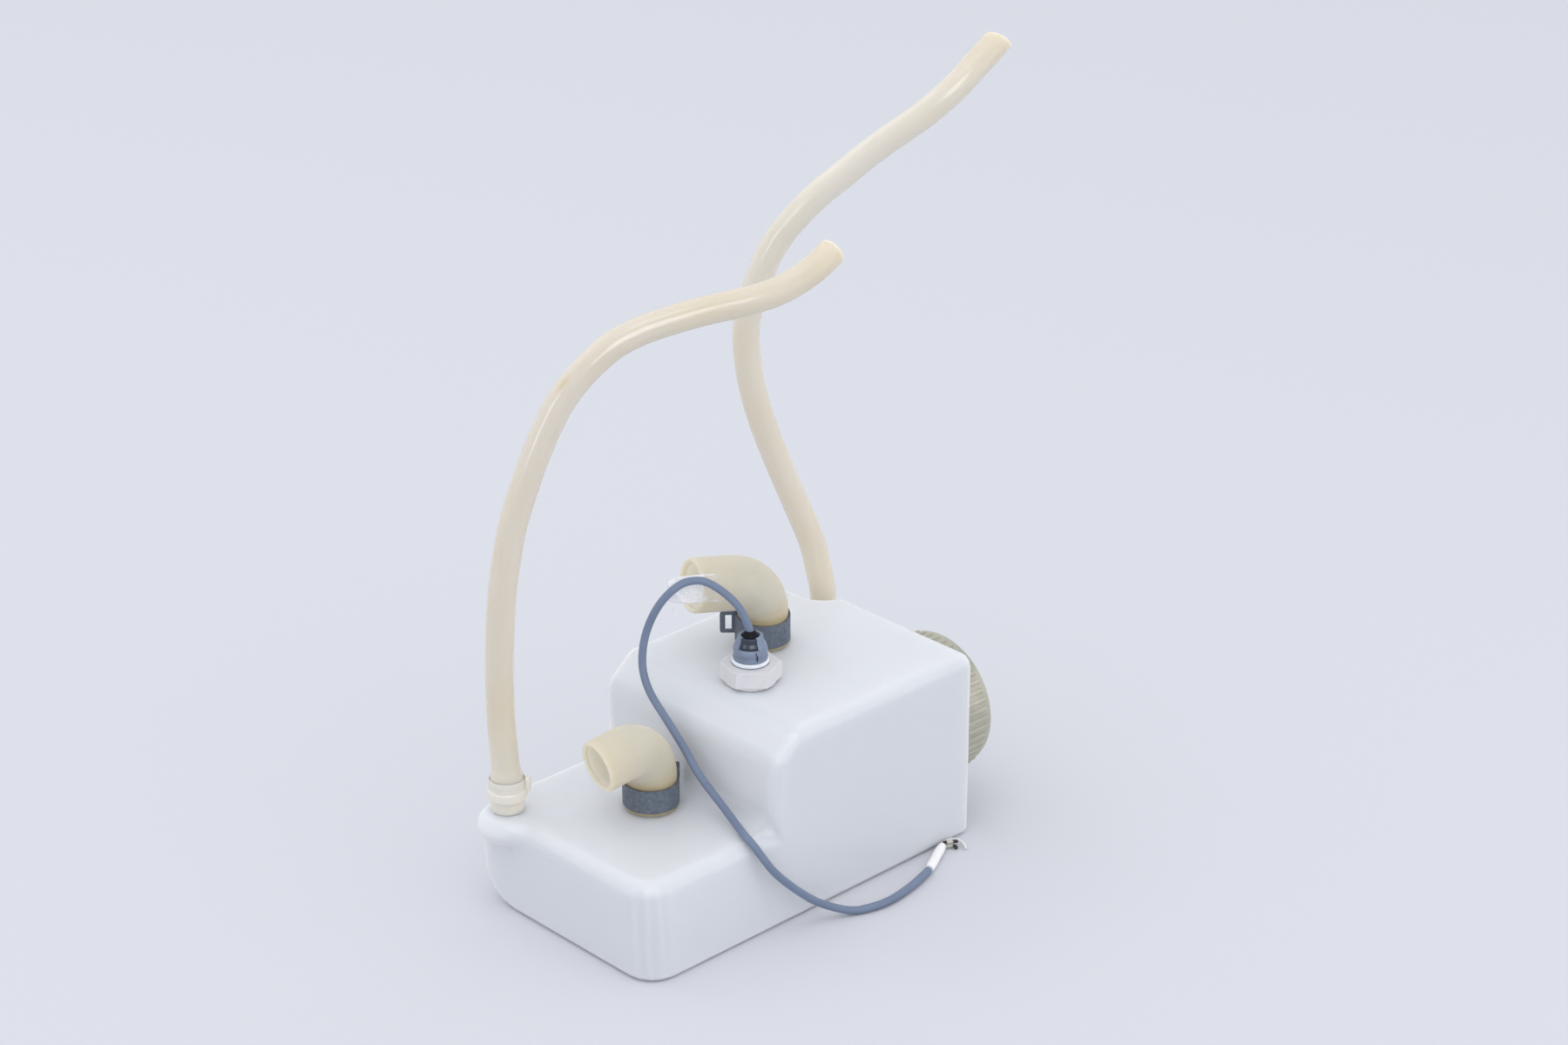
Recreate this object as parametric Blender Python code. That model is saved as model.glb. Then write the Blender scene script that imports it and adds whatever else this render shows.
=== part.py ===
"""Stepped water tank with two hoses, two clamped elbows, a ribbed screw cap and a level switch.

Lengths are in metres and angles in degrees. Every piece is modelled in the tank's own frame: X runs back
from the low front face, Y runs left from the right side and Z runs up from the floor. One empty carries
all the pieces and puts the middle of the assembly's footprint on the world's origin.
"""
from math import cos, pi, radians, sin, tan

import bmesh
import bpy
from mathutils import Matrix, Vector
from mathutils.geometry import interpolate_bezier

# Clearance between pieces that touch
GAP = 0.0003

# Tank shell
TANK_LENGTH = 0.2535
TANK_WIDTH = 0.143
TANK_HEIGHT = 0.119
LOW_LENGTH = 0.095
LOW_HEIGHT = 0.060
WALL = 0.0025
CHAMFER_RUN = 0.018
CHAMFER_DROP = 0.015
SIDE_LEAN = 0.003
SHOULDER_RUN = 0.016
SHOULDER_TOE = 0.004
EDGE_RADIUS = 0.009
CORNER_RADIUS = 0.018
LEFT_RADIUS = 0.005
REAR_RADIUS = 0.0052
BASE_RADIUS = 0.004
KEEL_RADIUS = 0.026
STEP_FILLET = 0.0115
CHAMFER_RADIUS = 0.006
LEAST_RADIUS = 0.001

# Corner bosses that carry the hoses
BOSS_RADIUS = 0.0182
BOSS_DEPTH = 0.019
BOSS_ROUND = 0.0075
BOSS_CHIN = 0.008
BOSS_FROM_LEFT = 0.018
FRONT_BOSS_X = 0.0055
FRONT_BOSS_RISE = 0.0015
NOTCH_RADIUS = 0.0175
NOTCH_DROP = 0.039
NOTCH_PAD = 0.0006
NOTCH_FLARE = 0.005

# Hoses, their spigots and clips
HOSE_RADIUS = 0.008
HOSE_BORE = 0.005
HOSE_STRETCH = 0.0034
HOSE_SPIGOT_RADIUS = 0.0058
HOSE_SPIGOT_BORE = 0.004
HOSE_SPIGOT_HEIGHT = 0.020
HOSE_TAPER = 0.006
HOSE_FRONT_LEAN = 0.0126
HOSE_REAR_LEAN = 0.0229
CLIP_START = 0.008
CLIP_HEIGHT = 0.012
CLIP_WALL = 0.0008
CLIP_BEAD = 0.0007
CLIP_BEAD_HEIGHT = 0.005
CLIP_TAB_REACH = 0.0024
CLIP_TAB_WIDTH = 0.005
CLIP_TAB_HEIGHT = 0.0085
CLIP_HEADING = -44.0

# Elbows, their spigots and clamps
ELBOW_BORE = 0.0119
ELBOW_WALL = 0.003
ELBOW_BEND = 0.022
ELBOW_SPIGOT_HEIGHT = 0.019
ELBOW_SPIGOT_WALL = 0.0026
UPPER_ELBOW_FROM_REAR = 0.0795
UPPER_ELBOW_Y = 0.094
UPPER_ELBOW_HEADING = 162.0
UPPER_ELBOW_TURN = 82.0
UPPER_ELBOW_RISER = 0.0202
UPPER_ELBOW_LEG = 0.027
UPPER_ELBOW_SWELL = 0.0012
LOWER_ELBOW_FROM_STEP = 0.027
LOWER_ELBOW_Y = 0.074
LOWER_ELBOW_HEADING = 185.0
LOWER_ELBOW_TURN = 90.0
LOWER_ELBOW_RISER = 0.0195
LOWER_ELBOW_LEG = 0.0195
LOWER_ELBOW_SWELL = 0.0004
CLAMP_START = 0.0028
UPPER_CLAMP_HEIGHT = 0.0178
LOWER_CLAMP_HEIGHT = 0.0142
CLAMP_STEEL = 0.001
CLAMP_SPLIT = 0.0012
EAR_REACH = 0.0086
UPPER_EAR_HEIGHT = 0.0136
LOWER_EAR_HEIGHT = 0.0113
EAR_STEEL = 0.0013
EAR_FRAME = 0.003
EAR_STAND = 0.0037
UPPER_EAR_HEADING = 138.0
LOWER_EAR_HEADING = 8.0

# Filler neck, cap and gasket
NECK_RADIUS = 0.0377
NECK_WALL = 0.003
CAP_Y = 0.0525
CAP_Z = 0.0602
CAP_REACH = 0.029
CAP_SKIRT = 0.022
CAP_SKIRT_WALL = 0.0028
CAP_TOP = 0.003
CAP_DISH = 0.001
CAP_DISH_RADIUS = 0.030
CAP_CROWN = 0.003
THREAD_ROOM = 0.0015
RIB_COUNT = 48
RIB_DEPTH = 0.0013
RIB_WIDTH = 0.0024
RIB_LENGTH = 0.017
GASKET_WIDTH = 0.005
GASKET_THICKNESS = 0.002

# Level switch
SENSOR_FROM_STEP = 0.0404
SENSOR_Y = 0.0633
SLEEVE_RADIUS = 0.0102
NUT_FLATS = 0.031
NUT_HEIGHT = 0.0098
NUT_BEVEL = 0.0009
NUT_HEADING = -131.0
WASHER_RADIUS = 0.0148
WASHER_THICKNESS = 0.0016
RING_RADIUS = 0.0107
RING_BORE = 0.0062
RING_HEIGHT = 0.0022
GLAND_RADIUS = 0.010
GLAND_NECK_RADIUS = 0.0073
GLAND_HEIGHT = 0.0143
GLAND_SHOULDER = 0.0075
GLAND_ROUND = 0.006
GLAND_LIP = 0.0008
GLAND_BORE = 0.0052
GLAND_BORE_DEPTH = 0.0085
SEAL_RECESS = 0.0008
SEAL_HEIGHT = 0.005
STEM_RADIUS = 0.004
STEM_BORE = 0.002
STEM_FOOT = 0.034
FLANGE_RADIUS = 0.0138
FLANGE_THICKNESS = 0.003
STOP_GROOVE = 0.0012
STOP_FROM_FOOT = 0.003
STOP_THICKNESS = 0.001
STOP_RADIUS = 0.0068
STOP_MOUTH = 70.0
FLOAT_RADIUS = 0.011
FLOAT_HEIGHT = 0.024
FLOAT_WALL = 0.001
FLOAT_SLIP = 0.0005
FLOAT_LID = 0.0014
MAGNET_WIDTH = 0.0026
MAGNET_HEIGHT = 0.005
REED_RADIUS = 0.0016
REED_LENGTH = 0.018
REED_DROP = 0.030

# Cable, sleeve and cores
CABLE_RADIUS = 0.0023
SLEEVE_TUBE_RADIUS = 0.0028
CORE_RADIUS = 0.0008

# Clear film on the upper elbow's mouth
FILM_THICKNESS = 0.0006
FILM_GRIP = 0.016
FILM_OVERHANG = 0.0145
FILM_SPAN = 58.0
FILM_START = 45.0
FILM_TAIL_LENGTH = 0.020
FILM_TAIL_WIDTH = 0.003

# Facets
ROUND_STEPS = 28
BORE_STEPS = 20
CORNER_STEPS = 3
ARC_STEPS = 4
EDGE_SEGMENTS = 4
ELBOW_SIDES = 20
ELBOW_STEPS = 6
HOSE_SIDES = 12
FILM_STEPS = 5
CORD_SIDES = 8
SHARP_ANGLE = 40.0
MERGE = 1e-6

# Routes of the hoses: (reach along the heading, rise above the foot)
HOSE_FRONT_HEADING = -24.8
HOSE_FRONT_ROUTE = [
    (0.000, 0.000), (0.000, 0.018), (-0.001, 0.036), (-0.002, 0.058), (-0.002, 0.082),
    (-0.001, 0.105), (0.001, 0.131), (0.004, 0.151), (0.008, 0.171), (0.014, 0.190),
    (0.021, 0.209), (0.029, 0.227), (0.038, 0.243), (0.050, 0.257), (0.066, 0.270),
    (0.082, 0.277), (0.099, 0.281), (0.117, 0.284), (0.135, 0.286), (0.150, 0.288),
    (0.1654, 0.2914), (0.1828, 0.2981), (0.1968, 0.305),
]
HOSE_REAR_HEADING = -43.8
HOSE_REAR_ROUTE = [
    (0.000, 0.000), (0.000, 0.018), (0.000, 0.032), (-0.002, 0.045), (-0.007, 0.067),
    (-0.015, 0.088), (-0.023, 0.108), (-0.031, 0.129), (-0.038, 0.150), (-0.043, 0.171),
    (-0.0455, 0.193), (-0.045, 0.208), (-0.042, 0.222), (-0.035, 0.242), (-0.027, 0.258),
    (-0.017, 0.271), (-0.005, 0.284), (0.010, 0.297), (0.025, 0.310), (0.041, 0.322),
    (0.057, 0.334), (0.072, 0.3468), (0.0845, 0.3583), (0.098, 0.3695),
]

# Route of the cable after it leaves the gland, in the tank's frame
CABLE_ROUTE = [
    (0.1347, 0.0668, 0.1570), (0.1327, 0.0719, 0.1650), (0.1288, 0.0814, 0.1722),
    (0.1231, 0.0899, 0.1765), (0.1137, 0.0943, 0.1769), (0.1057, 0.0970, 0.1729),
    (0.1004, 0.1008, 0.1653), (0.0968, 0.1040, 0.1561), (0.0940, 0.1060, 0.1461),
    (0.0911, 0.1053, 0.1368), (0.0893, 0.1032, 0.1274), (0.0882, 0.0982, 0.1187),
    (0.0880, 0.0915, 0.1115), (0.0880, 0.0835, 0.1050), (0.0875, 0.0675, 0.0920),
    (0.0860, 0.0525, 0.0800), (0.0850, 0.0335, 0.0695), (0.0800, 0.0120, 0.0632),
    (0.0796, 0.0021, 0.0587), (0.0870, -0.0074, 0.0423), (0.1060, -0.0103, 0.0220),
    (0.1210, -0.0125, 0.0100), (0.1360, -0.0188, 0.0028), (0.1470, -0.0235, 0.0024),
    (0.1610, -0.0255, 0.0024), (0.1810, -0.0228, 0.0025), (0.2004, -0.0176, 0.0028),
]
SLEEVE_ROUTE = [(0.2008, -0.0174, 0.0029), (0.2131, -0.0107, 0.0029), (0.2255, -0.0041, 0.0029)]
CORE_ROUTES = {
    "wire_brown": [
        (0.2262, -0.0043, 0.0039), (0.2279, -0.0037, 0.0042), (0.2300, -0.0051, 0.0042),
        (0.2333, -0.0059, 0.0038), (0.2358, -0.0069, 0.0032),
    ],
    "wire_green": [
        (0.2264, -0.0048, 0.0018), (0.2282, -0.0045, 0.0018), (0.2311, -0.0060, 0.0017),
        (0.2327, -0.0074, 0.0014), (0.2322, -0.0097, 0.0012),
    ],
    "wire_white": [
        (0.2256, -0.0028, 0.0030), (0.2272, -0.0020, 0.0030), (0.2300, -0.0019, 0.0032),
        (0.2350, -0.0024, 0.0030), (0.2381, -0.0057, 0.0024), (0.2376, -0.0104, 0.0016),
        (0.2355, -0.0135, 0.0012),
    ],
}
POINT_SPACING = 2.0
LEAN_POINTS = 3
FINE_STEPS = 24

# Sizes that follow from the driving ones
FRONT_BOSS_TOP = LOW_HEIGHT + FRONT_BOSS_RISE
NOTCH_FLOOR = TANK_HEIGHT - NOTCH_DROP
REAR_BOSS_TOP = NOTCH_FLOOR + NOTCH_PAD
BOSS_Y = TANK_WIDTH - BOSS_FROM_LEFT
HOSE_FOOT_RADIUS = HOSE_SPIGOT_RADIUS + GAP + HOSE_STRETCH
UPPER_ELBOW = (TANK_LENGTH - UPPER_ELBOW_FROM_REAR, UPPER_ELBOW_Y, TANK_HEIGHT)
LOWER_ELBOW = (LOW_LENGTH - LOWER_ELBOW_FROM_STEP, LOWER_ELBOW_Y, LOW_HEIGHT)
SENSOR_X = LOW_LENGTH + SENSOR_FROM_STEP
ELBOW_RADIUS = ELBOW_BORE + ELBOW_WALL
ELBOW_SPIGOT_RADIUS = ELBOW_BORE - GAP
CLAMP_RADIUS = ELBOW_RADIUS + GAP
NECK_LENGTH = CAP_REACH - CAP_TOP - GASKET_THICKNESS - 2 * GAP
CAP_BORE = NECK_RADIUS + THREAD_ROOM
CAP_SKIRT_RADIUS = CAP_BORE + CAP_SKIRT_WALL
WASHER_BASE = TANK_HEIGHT + GAP
NUT_BASE = WASHER_BASE + WASHER_THICKNESS + GAP
NUT_TOP = NUT_BASE + NUT_HEIGHT
RING_BASE = NUT_TOP + GAP
GLAND_BASE = RING_BASE + RING_HEIGHT + GAP
GLAND_TOP = GLAND_BASE + GLAND_HEIGHT
SEAL_TOP = GLAND_TOP - SEAL_RECESS
GLAND_BORE_FLOOR = GLAND_TOP - GLAND_BORE_DEPTH
STOP_BASE = STEM_FOOT + STOP_FROM_FOOT
FLOAT_BASE = STOP_BASE + STOP_THICKNESS + GAP
FLOAT_BORE = STEM_RADIUS + FLOAT_SLIP
WIDEST_ROUND = EDGE_RADIUS + STEP_FILLET
FOOTPRINT_FRONT = FRONT_BOSS_X - BOSS_RADIUS
FOOTPRINT_REAR = TANK_LENGTH + CAP_REACH
FOOTPRINT_LEFT = BOSS_Y + BOSS_RADIUS


def finish(name, colour, roughness, metallic=0.0, alpha=1.0):
    """Material with one plain Principled surface."""
    material = bpy.data.materials.new(name)
    material.use_nodes = True
    shader = material.node_tree.nodes["Principled BSDF"]
    shader.inputs["Base Color"].default_value = (*colour, 1.0)
    shader.inputs["Roughness"].default_value = roughness
    shader.inputs["Metallic"].default_value = metallic
    shader.inputs["Alpha"].default_value = alpha
    return material


def rounded(corners):
    """Outline through (x, y, radius) corners, with each radius drawn as a short arc."""
    outline = []
    for index, (x, y, radius) in enumerate(corners):
        corner = Vector((x, y))
        if radius == 0:
            outline.append(corner)
            continue
        following = corners[(index + 1) % len(corners)]
        before = (Vector(corners[index - 1][:2]) - corner).normalized()
        after = (Vector(following[:2]) - corner).normalized()
        half = before.angle(after) / 2
        centre = corner + (before + after).normalized() * radius / sin(half)
        start = corner + before * radius / tan(half) - centre
        end = corner + after * radius / tan(half) - centre
        for step in range(CORNER_STEPS + 1):
            arm = start.lerp(end, step / CORNER_STEPS).normalized()
            outline.append(centre + arm * radius)
    return outline


def turned(outline, steps=ROUND_STEPS):
    """Closed solid turned about Z from a closed (radius, height) outline."""
    solid = bmesh.new()
    points = [solid.verts.new((point[0], 0.0, point[1])) for point in outline]
    edges = []
    for first, second in zip(points, points[1:] + points[:1]):
        if first.co.x > MERGE or second.co.x > MERGE:
            edges.append(solid.edges.new((first, second)))
    bmesh.ops.spin(solid, geom=points + edges, cent=(0, 0, 0), axis=(0, 0, 1), dvec=(0, 0, 0),
                   angle=2 * pi, steps=steps, use_merge=True, use_duplicate=False)
    bmesh.ops.remove_doubles(solid, verts=solid.verts, dist=MERGE)
    bmesh.ops.recalc_face_normals(solid, faces=solid.faces)
    return solid


def rod(radius, start, end, steps=ROUND_STEPS):
    """Plain round bar along Z."""
    return turned([(0, start), (radius, start), (radius, end), (0, end)], steps)


def pipe(bore, radius, start, end, steps=ROUND_STEPS):
    """Plain round tube along Z."""
    return turned([(bore, start), (radius, start), (radius, end), (bore, end)], steps)


def block(low, high):
    """Box between two corners."""
    solid = bmesh.new()
    bmesh.ops.create_cube(solid, size=1.0)
    size = Vector(high) - Vector(low)
    bmesh.ops.scale(solid, vec=size, verts=solid.verts)
    bmesh.ops.translate(solid, vec=Vector(low) + size / 2, verts=solid.verts)
    return solid


def gathered(placed):
    """One mesh that holds several solids, each moved by its own matrix."""
    whole = bmesh.new()
    for solid, matrix in placed:
        solid.transform(matrix)
        copy = bpy.data.meshes.new("copy")
        solid.to_mesh(copy)
        solid.free()
        whole.from_mesh(copy)
        bpy.data.meshes.remove(copy)
    return whole


def add(name, solid, material, location=(0, 0, 0), rotation=(0, 0, 0)):
    """Named object on the assembly's empty, from a finished bmesh."""
    mesh = bpy.data.meshes.new(name)
    solid.to_mesh(mesh)
    solid.free()
    return add_mesh(name, mesh, material, location, rotation)


def add_mesh(name, mesh, material, location=(0, 0, 0), rotation=(0, 0, 0)):
    """Named object on the assembly's empty, from a mesh."""
    mesh.shade_smooth()
    mesh.set_sharp_from_angle(angle=radians(SHARP_ANGLE))
    mesh.materials.append(material)
    piece = bpy.data.objects.new(name, mesh)
    piece.location = location
    piece.rotation_euler = [radians(angle) for angle in rotation]
    piece.parent = assembly
    bpy.context.collection.objects.link(piece)
    return piece


def combine(piece, tool, operation):
    """Join a tool to a piece, or cut it away, and keep the tool as a hidden guide."""
    tool.hide_render = True
    tool.display_type = "WIRE"
    change = piece.modifiers.new(tool.name, "BOOLEAN")
    change.operation = operation
    change.solver = "EXACT"
    change.object = tool


def at(x, y, z):
    """Matrix that moves a solid to a place."""
    return Matrix.Translation((x, y, z))


def along_x(x, y, z):
    """Matrix that lays a turned solid along X and moves it to a place."""
    return Matrix.Translation((x, y, z)) @ Matrix.Rotation(pi / 2, 4, "Y")


def arc(solid, centre, first, second):
    """Vertices round a quarter circle, from one arm's end to another's."""
    points = []
    for step in range(ARC_STEPS + 1):
        angle = pi / 2 * step / ARC_STEPS
        arm = Vector(first) * cos(angle) + Vector(second) * sin(angle)
        points.append(solid.verts.new(Vector(centre) + arm))
    return points


def stepped_block(name, inset, material):
    """The tank's stepped outline as a closed block, set in from the outside, with rounded edges."""
    slope = Vector((-CHAMFER_DROP, CHAMFER_RUN)).normalized()
    level = slope.dot(Vector((LOW_LENGTH, TANK_HEIGHT - CHAMFER_DROP))) - inset
    step = LOW_LENGTH + inset
    top = TANK_HEIGHT - inset
    low = LOW_HEIGHT - inset
    rear = TANK_LENGTH - inset
    width = TANK_WIDTH - inset
    outline = {
        "top_rear": (rear, top),
        "top_front": ((level - slope.y * top) / slope.x, top),
        "chamfer": (step, (level - slope.x * step) / slope.y),
        "step": (step, low),
    }
    solid = bmesh.new()
    right = {key: solid.verts.new((x, inset, z)) for key, (x, z) in outline.items()}
    left = {key: solid.verts.new((x, width, z)) for key, (x, z) in outline.items()}
    toe_step = solid.verts.new((LOW_LENGTH - SHOULDER_TOE, inset, inset))
    toe_rear = solid.verts.new((rear, inset, inset))
    shoulder = solid.verts.new((LOW_LENGTH - SHOULDER_RUN, inset + SIDE_LEAN, low))
    front = solid.verts.new((inset, width, low))
    turn = CORNER_RADIUS - inset
    turns = [arc(solid, (CORNER_RADIUS, CORNER_RADIUS + lean, z), (0, -turn, 0), (-turn, 0, 0))
             for lean, z in ((0.0, inset), (SIDE_LEAN, low))]
    bend = KEEL_RADIUS - inset
    keels = [arc(solid, (x, TANK_WIDTH - KEEL_RADIUS, KEEL_RADIUS), (0, 0, -bend), (0, bend, 0))
             for x in (inset, rear)]
    upper = [right[key] for key in outline]
    far = [left[key] for key in outline]
    faces = [
        [turns[0][0], toe_step, shoulder, turns[1][0]],
        [toe_step, right["step"], shoulder],
        [toe_step, toe_rear, *upper],
        [turns[0][-1], *keels[0], front, turns[1][-1]],
        [*turns[0], keels[0][0], keels[1][0], toe_rear, toe_step],
        [keels[1][-1], *far, front, keels[0][-1]],
        [toe_rear, *keels[1], left["top_rear"], right["top_rear"]],
        [right["step"], shoulder, *turns[1], front, left["step"]],
    ]
    for index in range(len(outline) - 1):
        faces.append([upper[index], upper[index + 1], far[index + 1], far[index]])
    for low_curve, high_curve in (turns, keels):
        for index in range(ARC_STEPS):
            faces.append([low_curve[index], low_curve[index + 1], high_curve[index + 1], high_curve[index]])
    for corners in faces:
        solid.faces.new(corners)
    bmesh.ops.recalc_face_normals(solid, faces=solid.faces)
    soften(solid, inset, {
        BASE_RADIUS: [[toe_rear, toe_step, *turns[0], *keels[0]], [toe_rear, *keels[1]]],
        LEFT_RADIUS: [[keels[1][-1], *far, front, keels[0][-1]]],
        EDGE_RADIUS: [[*upper, shoulder, *turns[1], front], [right["top_rear"], left["top_rear"]]],
        CHAMFER_RADIUS: [[right[key], left[key]] for key in ("top_front", "chamfer")],
        REAR_RADIUS: [[right["top_rear"], toe_rear]],
        -STEP_FILLET: [[right["step"], left["step"]]],
    })
    piece = add(name, solid, material)
    bevel = piece.modifiers.new("edges", "BEVEL")
    bevel.limit_method = "WEIGHT"
    bevel.width = WIDEST_ROUND
    bevel.segments = EDGE_SEGMENTS
    bevel.use_clamp_overlap = False
    return piece


def soften(solid, inset, chains):
    """Write each chain's rounding as a bevel weight; a negative radius is a fillet that grows inward."""
    weight = solid.edges.layers.float.new("bevel_weight_edge")
    wanted = {}
    for radius, runs in chains.items():
        for run in runs:
            for ends in zip(run, run[1:]):
                wanted[frozenset(ends)] = abs(radius - inset)
    for edge in solid.edges:
        ends = frozenset(edge.verts)
        if ends in wanted:
            edge[weight] = max(wanted[ends], LEAST_RADIUS) / WIDEST_ROUND


def boss(top, inset, cover):
    """Round corner boss with a soft crown and chin, set in from its outside and from its top."""
    radius = BOSS_RADIUS - inset
    crown = top - cover
    tip = top - BOSS_DEPTH + inset
    return turned(rounded([
        *([(0, crown, 0)] if cover else hose_spigot(top)),
        (radius, crown, BOSS_ROUND - inset), (radius, tip, BOSS_CHIN - inset), (0, tip, 0),
    ]))


def notch(margin):
    """Round hollow in the rear corner, flared at its top and open to the left, with a margin all round."""
    radius = NOTCH_RADIUS + margin
    floor = NOTCH_FLOOR - margin
    top = TANK_HEIGHT + WALL
    flare = NOTCH_FLARE + WALL
    solid = turned([(0, floor), (radius, floor), (radius, top - flare), (radius + flare, top), (0, top)])
    left = [vert for vert in solid.verts if vert.co.y > LEAST_RADIUS]
    bmesh.ops.translate(solid, vec=(0, BOSS_RADIUS, 0), verts=left)
    return solid


def hose_spigot(foot):
    """Outline of the plain spigot on a boss, from its tip down to its foot."""
    tip = foot + HOSE_SPIGOT_HEIGHT
    lead = (HOSE_SPIGOT_RADIUS - HOSE_SPIGOT_BORE) / 2
    return [
        (0, tip, 0), (HOSE_SPIGOT_RADIUS - lead, tip, 0), (HOSE_SPIGOT_RADIUS, tip - lead, 0),
        (HOSE_SPIGOT_RADIUS, foot, 0),
    ]


def tank_body():
    """Hollow tank: one moulding with its bosses, spigots, sensor hole and filler neck."""
    tank = stepped_block("tank_body", 0.0, WHITE)
    combine(tank, add("notch", notch(0.0), WHITE, (TANK_LENGTH, BOSS_Y, 0)), "DIFFERENCE")
    bosses = gathered([
        (boss(FRONT_BOSS_TOP, 0.0, 0.0), at(FRONT_BOSS_X, BOSS_Y, 0)),
        (boss(REAR_BOSS_TOP, 0.0, 0.0), at(TANK_LENGTH, BOSS_Y, 0)),
    ])
    combine(tank, add("bosses", bosses, WHITE), "UNION")
    combine(tank, add("fittings", tank_fittings(), WHITE), "UNION")
    combine(tank, tank_cavity(), "DIFFERENCE")
    combine(tank, add("bores", tank_bores(), WHITE), "DIFFERENCE")
    return tank


def tank_cavity():
    """The water space: the stepped block one wall further in, clear of the corner notch."""
    cavity = stepped_block("cavity", WALL, WHITE)
    combine(cavity, add("notch_guard", notch(WALL), WHITE, (TANK_LENGTH, BOSS_Y, 0)), "DIFFERENCE")
    bosses = gathered([
        (boss(FRONT_BOSS_TOP, WALL, WALL), at(FRONT_BOSS_X, BOSS_Y, 0)),
        (boss(REAR_BOSS_TOP, WALL, 2 * WALL), at(TANK_LENGTH, BOSS_Y, 0)),
    ])
    combine(cavity, add("cavity_bosses", bosses, WHITE), "UNION")
    return cavity


def tank_fittings():
    """Elbow spigots and filler neck, before they are bored."""
    root = WALL / 2
    lead = ELBOW_SPIGOT_WALL / 2
    placed = []
    for place in (UPPER_ELBOW, LOWER_ELBOW):
        spigot = turned([
            (0, -root), (ELBOW_SPIGOT_RADIUS, -root), (ELBOW_SPIGOT_RADIUS, ELBOW_SPIGOT_HEIGHT - lead),
            (ELBOW_SPIGOT_RADIUS - lead, ELBOW_SPIGOT_HEIGHT), (0, ELBOW_SPIGOT_HEIGHT),
        ])
        placed.append((spigot, at(*place)))
    neck = rod(NECK_RADIUS, -root, NECK_LENGTH, 2 * BORE_STEPS)
    placed.append((neck, along_x(TANK_LENGTH, CAP_Y, CAP_Z)))
    return gathered(placed)


def tank_bores():
    """Bores of the spigots and the neck, and the hole for the level switch."""
    elbow_bore = ELBOW_SPIGOT_RADIUS - ELBOW_SPIGOT_WALL
    bores = [
        (FRONT_BOSS_X, BOSS_Y, FRONT_BOSS_TOP, HOSE_SPIGOT_BORE, HOSE_SPIGOT_HEIGHT),
        (TANK_LENGTH, BOSS_Y, REAR_BOSS_TOP, HOSE_SPIGOT_BORE, HOSE_SPIGOT_HEIGHT),
        (*UPPER_ELBOW, elbow_bore, ELBOW_SPIGOT_HEIGHT),
        (*LOWER_ELBOW, elbow_bore, ELBOW_SPIGOT_HEIGHT),
        (SENSOR_X, SENSOR_Y, TANK_HEIGHT, SLEEVE_RADIUS + GAP, WALL),
    ]
    half_step = Matrix.Rotation(pi / BORE_STEPS, 4, "Z")
    placed = []
    for x, y, z, radius, height in bores:
        placed.append((rod(radius, -3 * WALL, height + WALL, BORE_STEPS), at(x, y, z) @ half_step))
    neck = rod(NECK_RADIUS - NECK_WALL, -2 * WALL, NECK_LENGTH + WALL, 2 * BORE_STEPS)
    placed.append((neck, along_x(TANK_LENGTH, CAP_Y, CAP_Z)))
    return gathered(placed)


def filler_cap():
    """Ribbed screw cap: a turned cup with straight ribs round its skirt."""
    rim = CAP_REACH - CAP_SKIRT
    ceiling = CAP_REACH - CAP_TOP
    cup = turned(rounded([
        (0, ceiling, 0), (CAP_BORE, ceiling, 0), (CAP_BORE, rim, 0),
        (CAP_SKIRT_RADIUS, rim, 0), (CAP_SKIRT_RADIUS, CAP_REACH, CAP_CROWN),
        (CAP_DISH_RADIUS + CAP_DISH, CAP_REACH, 0), (CAP_DISH_RADIUS, CAP_REACH - CAP_DISH, 0),
        (0, CAP_REACH - CAP_DISH, 0),
    ]), RIB_COUNT)
    place = (TANK_LENGTH, CAP_Y, CAP_Z)
    cap = add("filler_cap", cup, CAP_PLASTIC, place, (0, 90, 0))
    ribs = []
    for index in range(RIB_COUNT):
        root = CAP_SKIRT_RADIUS - RIB_DEPTH
        crest = CAP_SKIRT_RADIUS + RIB_DEPTH
        rib = block((root, -RIB_WIDTH / 2, rim), (crest, RIB_WIDTH / 2, rim + RIB_LENGTH))
        outer = [vert for vert in rib.verts if vert.co.x > CAP_SKIRT_RADIUS]
        for vert in outer:
            vert.co.y *= 0.5
            if vert.co.z > rim + RIB_LENGTH / 2:
                vert.co.z -= RIB_DEPTH
        ribs.append((rib, Matrix.Rotation(2 * pi * (index + 0.5) / RIB_COUNT, 4, "Z")))
    combine(cap, add("cap_ribs", gathered(ribs), CAP_PLASTIC, place, (0, 90, 0)), "UNION")
    return cap


def cap_gasket():
    """Flat ring between the neck's rim and the cap."""
    start = NECK_LENGTH + GAP
    bore = CAP_BORE - GAP - GASKET_WIDTH
    ring = pipe(bore, CAP_BORE - GAP, start, start + GASKET_THICKNESS, 2 * BORE_STEPS)
    return add("cap_gasket", ring, RUBBER, (TANK_LENGTH, CAP_Y, CAP_Z), (0, 90, 0))


def elbow_line(riser, leg, turn, overrun):
    """Centre line of an elbow: a riser, a bend towards +X and a straight leg, run on past both ends."""
    points = [(0, 0, GAP - overrun)]
    for step in range(ELBOW_STEPS + 1):
        angle = radians(turn) * step / ELBOW_STEPS
        points.append((ELBOW_BEND * (1 - cos(angle)), 0, riser + ELBOW_BEND * sin(angle)))
    x, _, z = points[-1]
    points.append((x + (leg + overrun) * sin(angle), 0, z + (leg + overrun) * cos(angle)))
    return points


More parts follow.
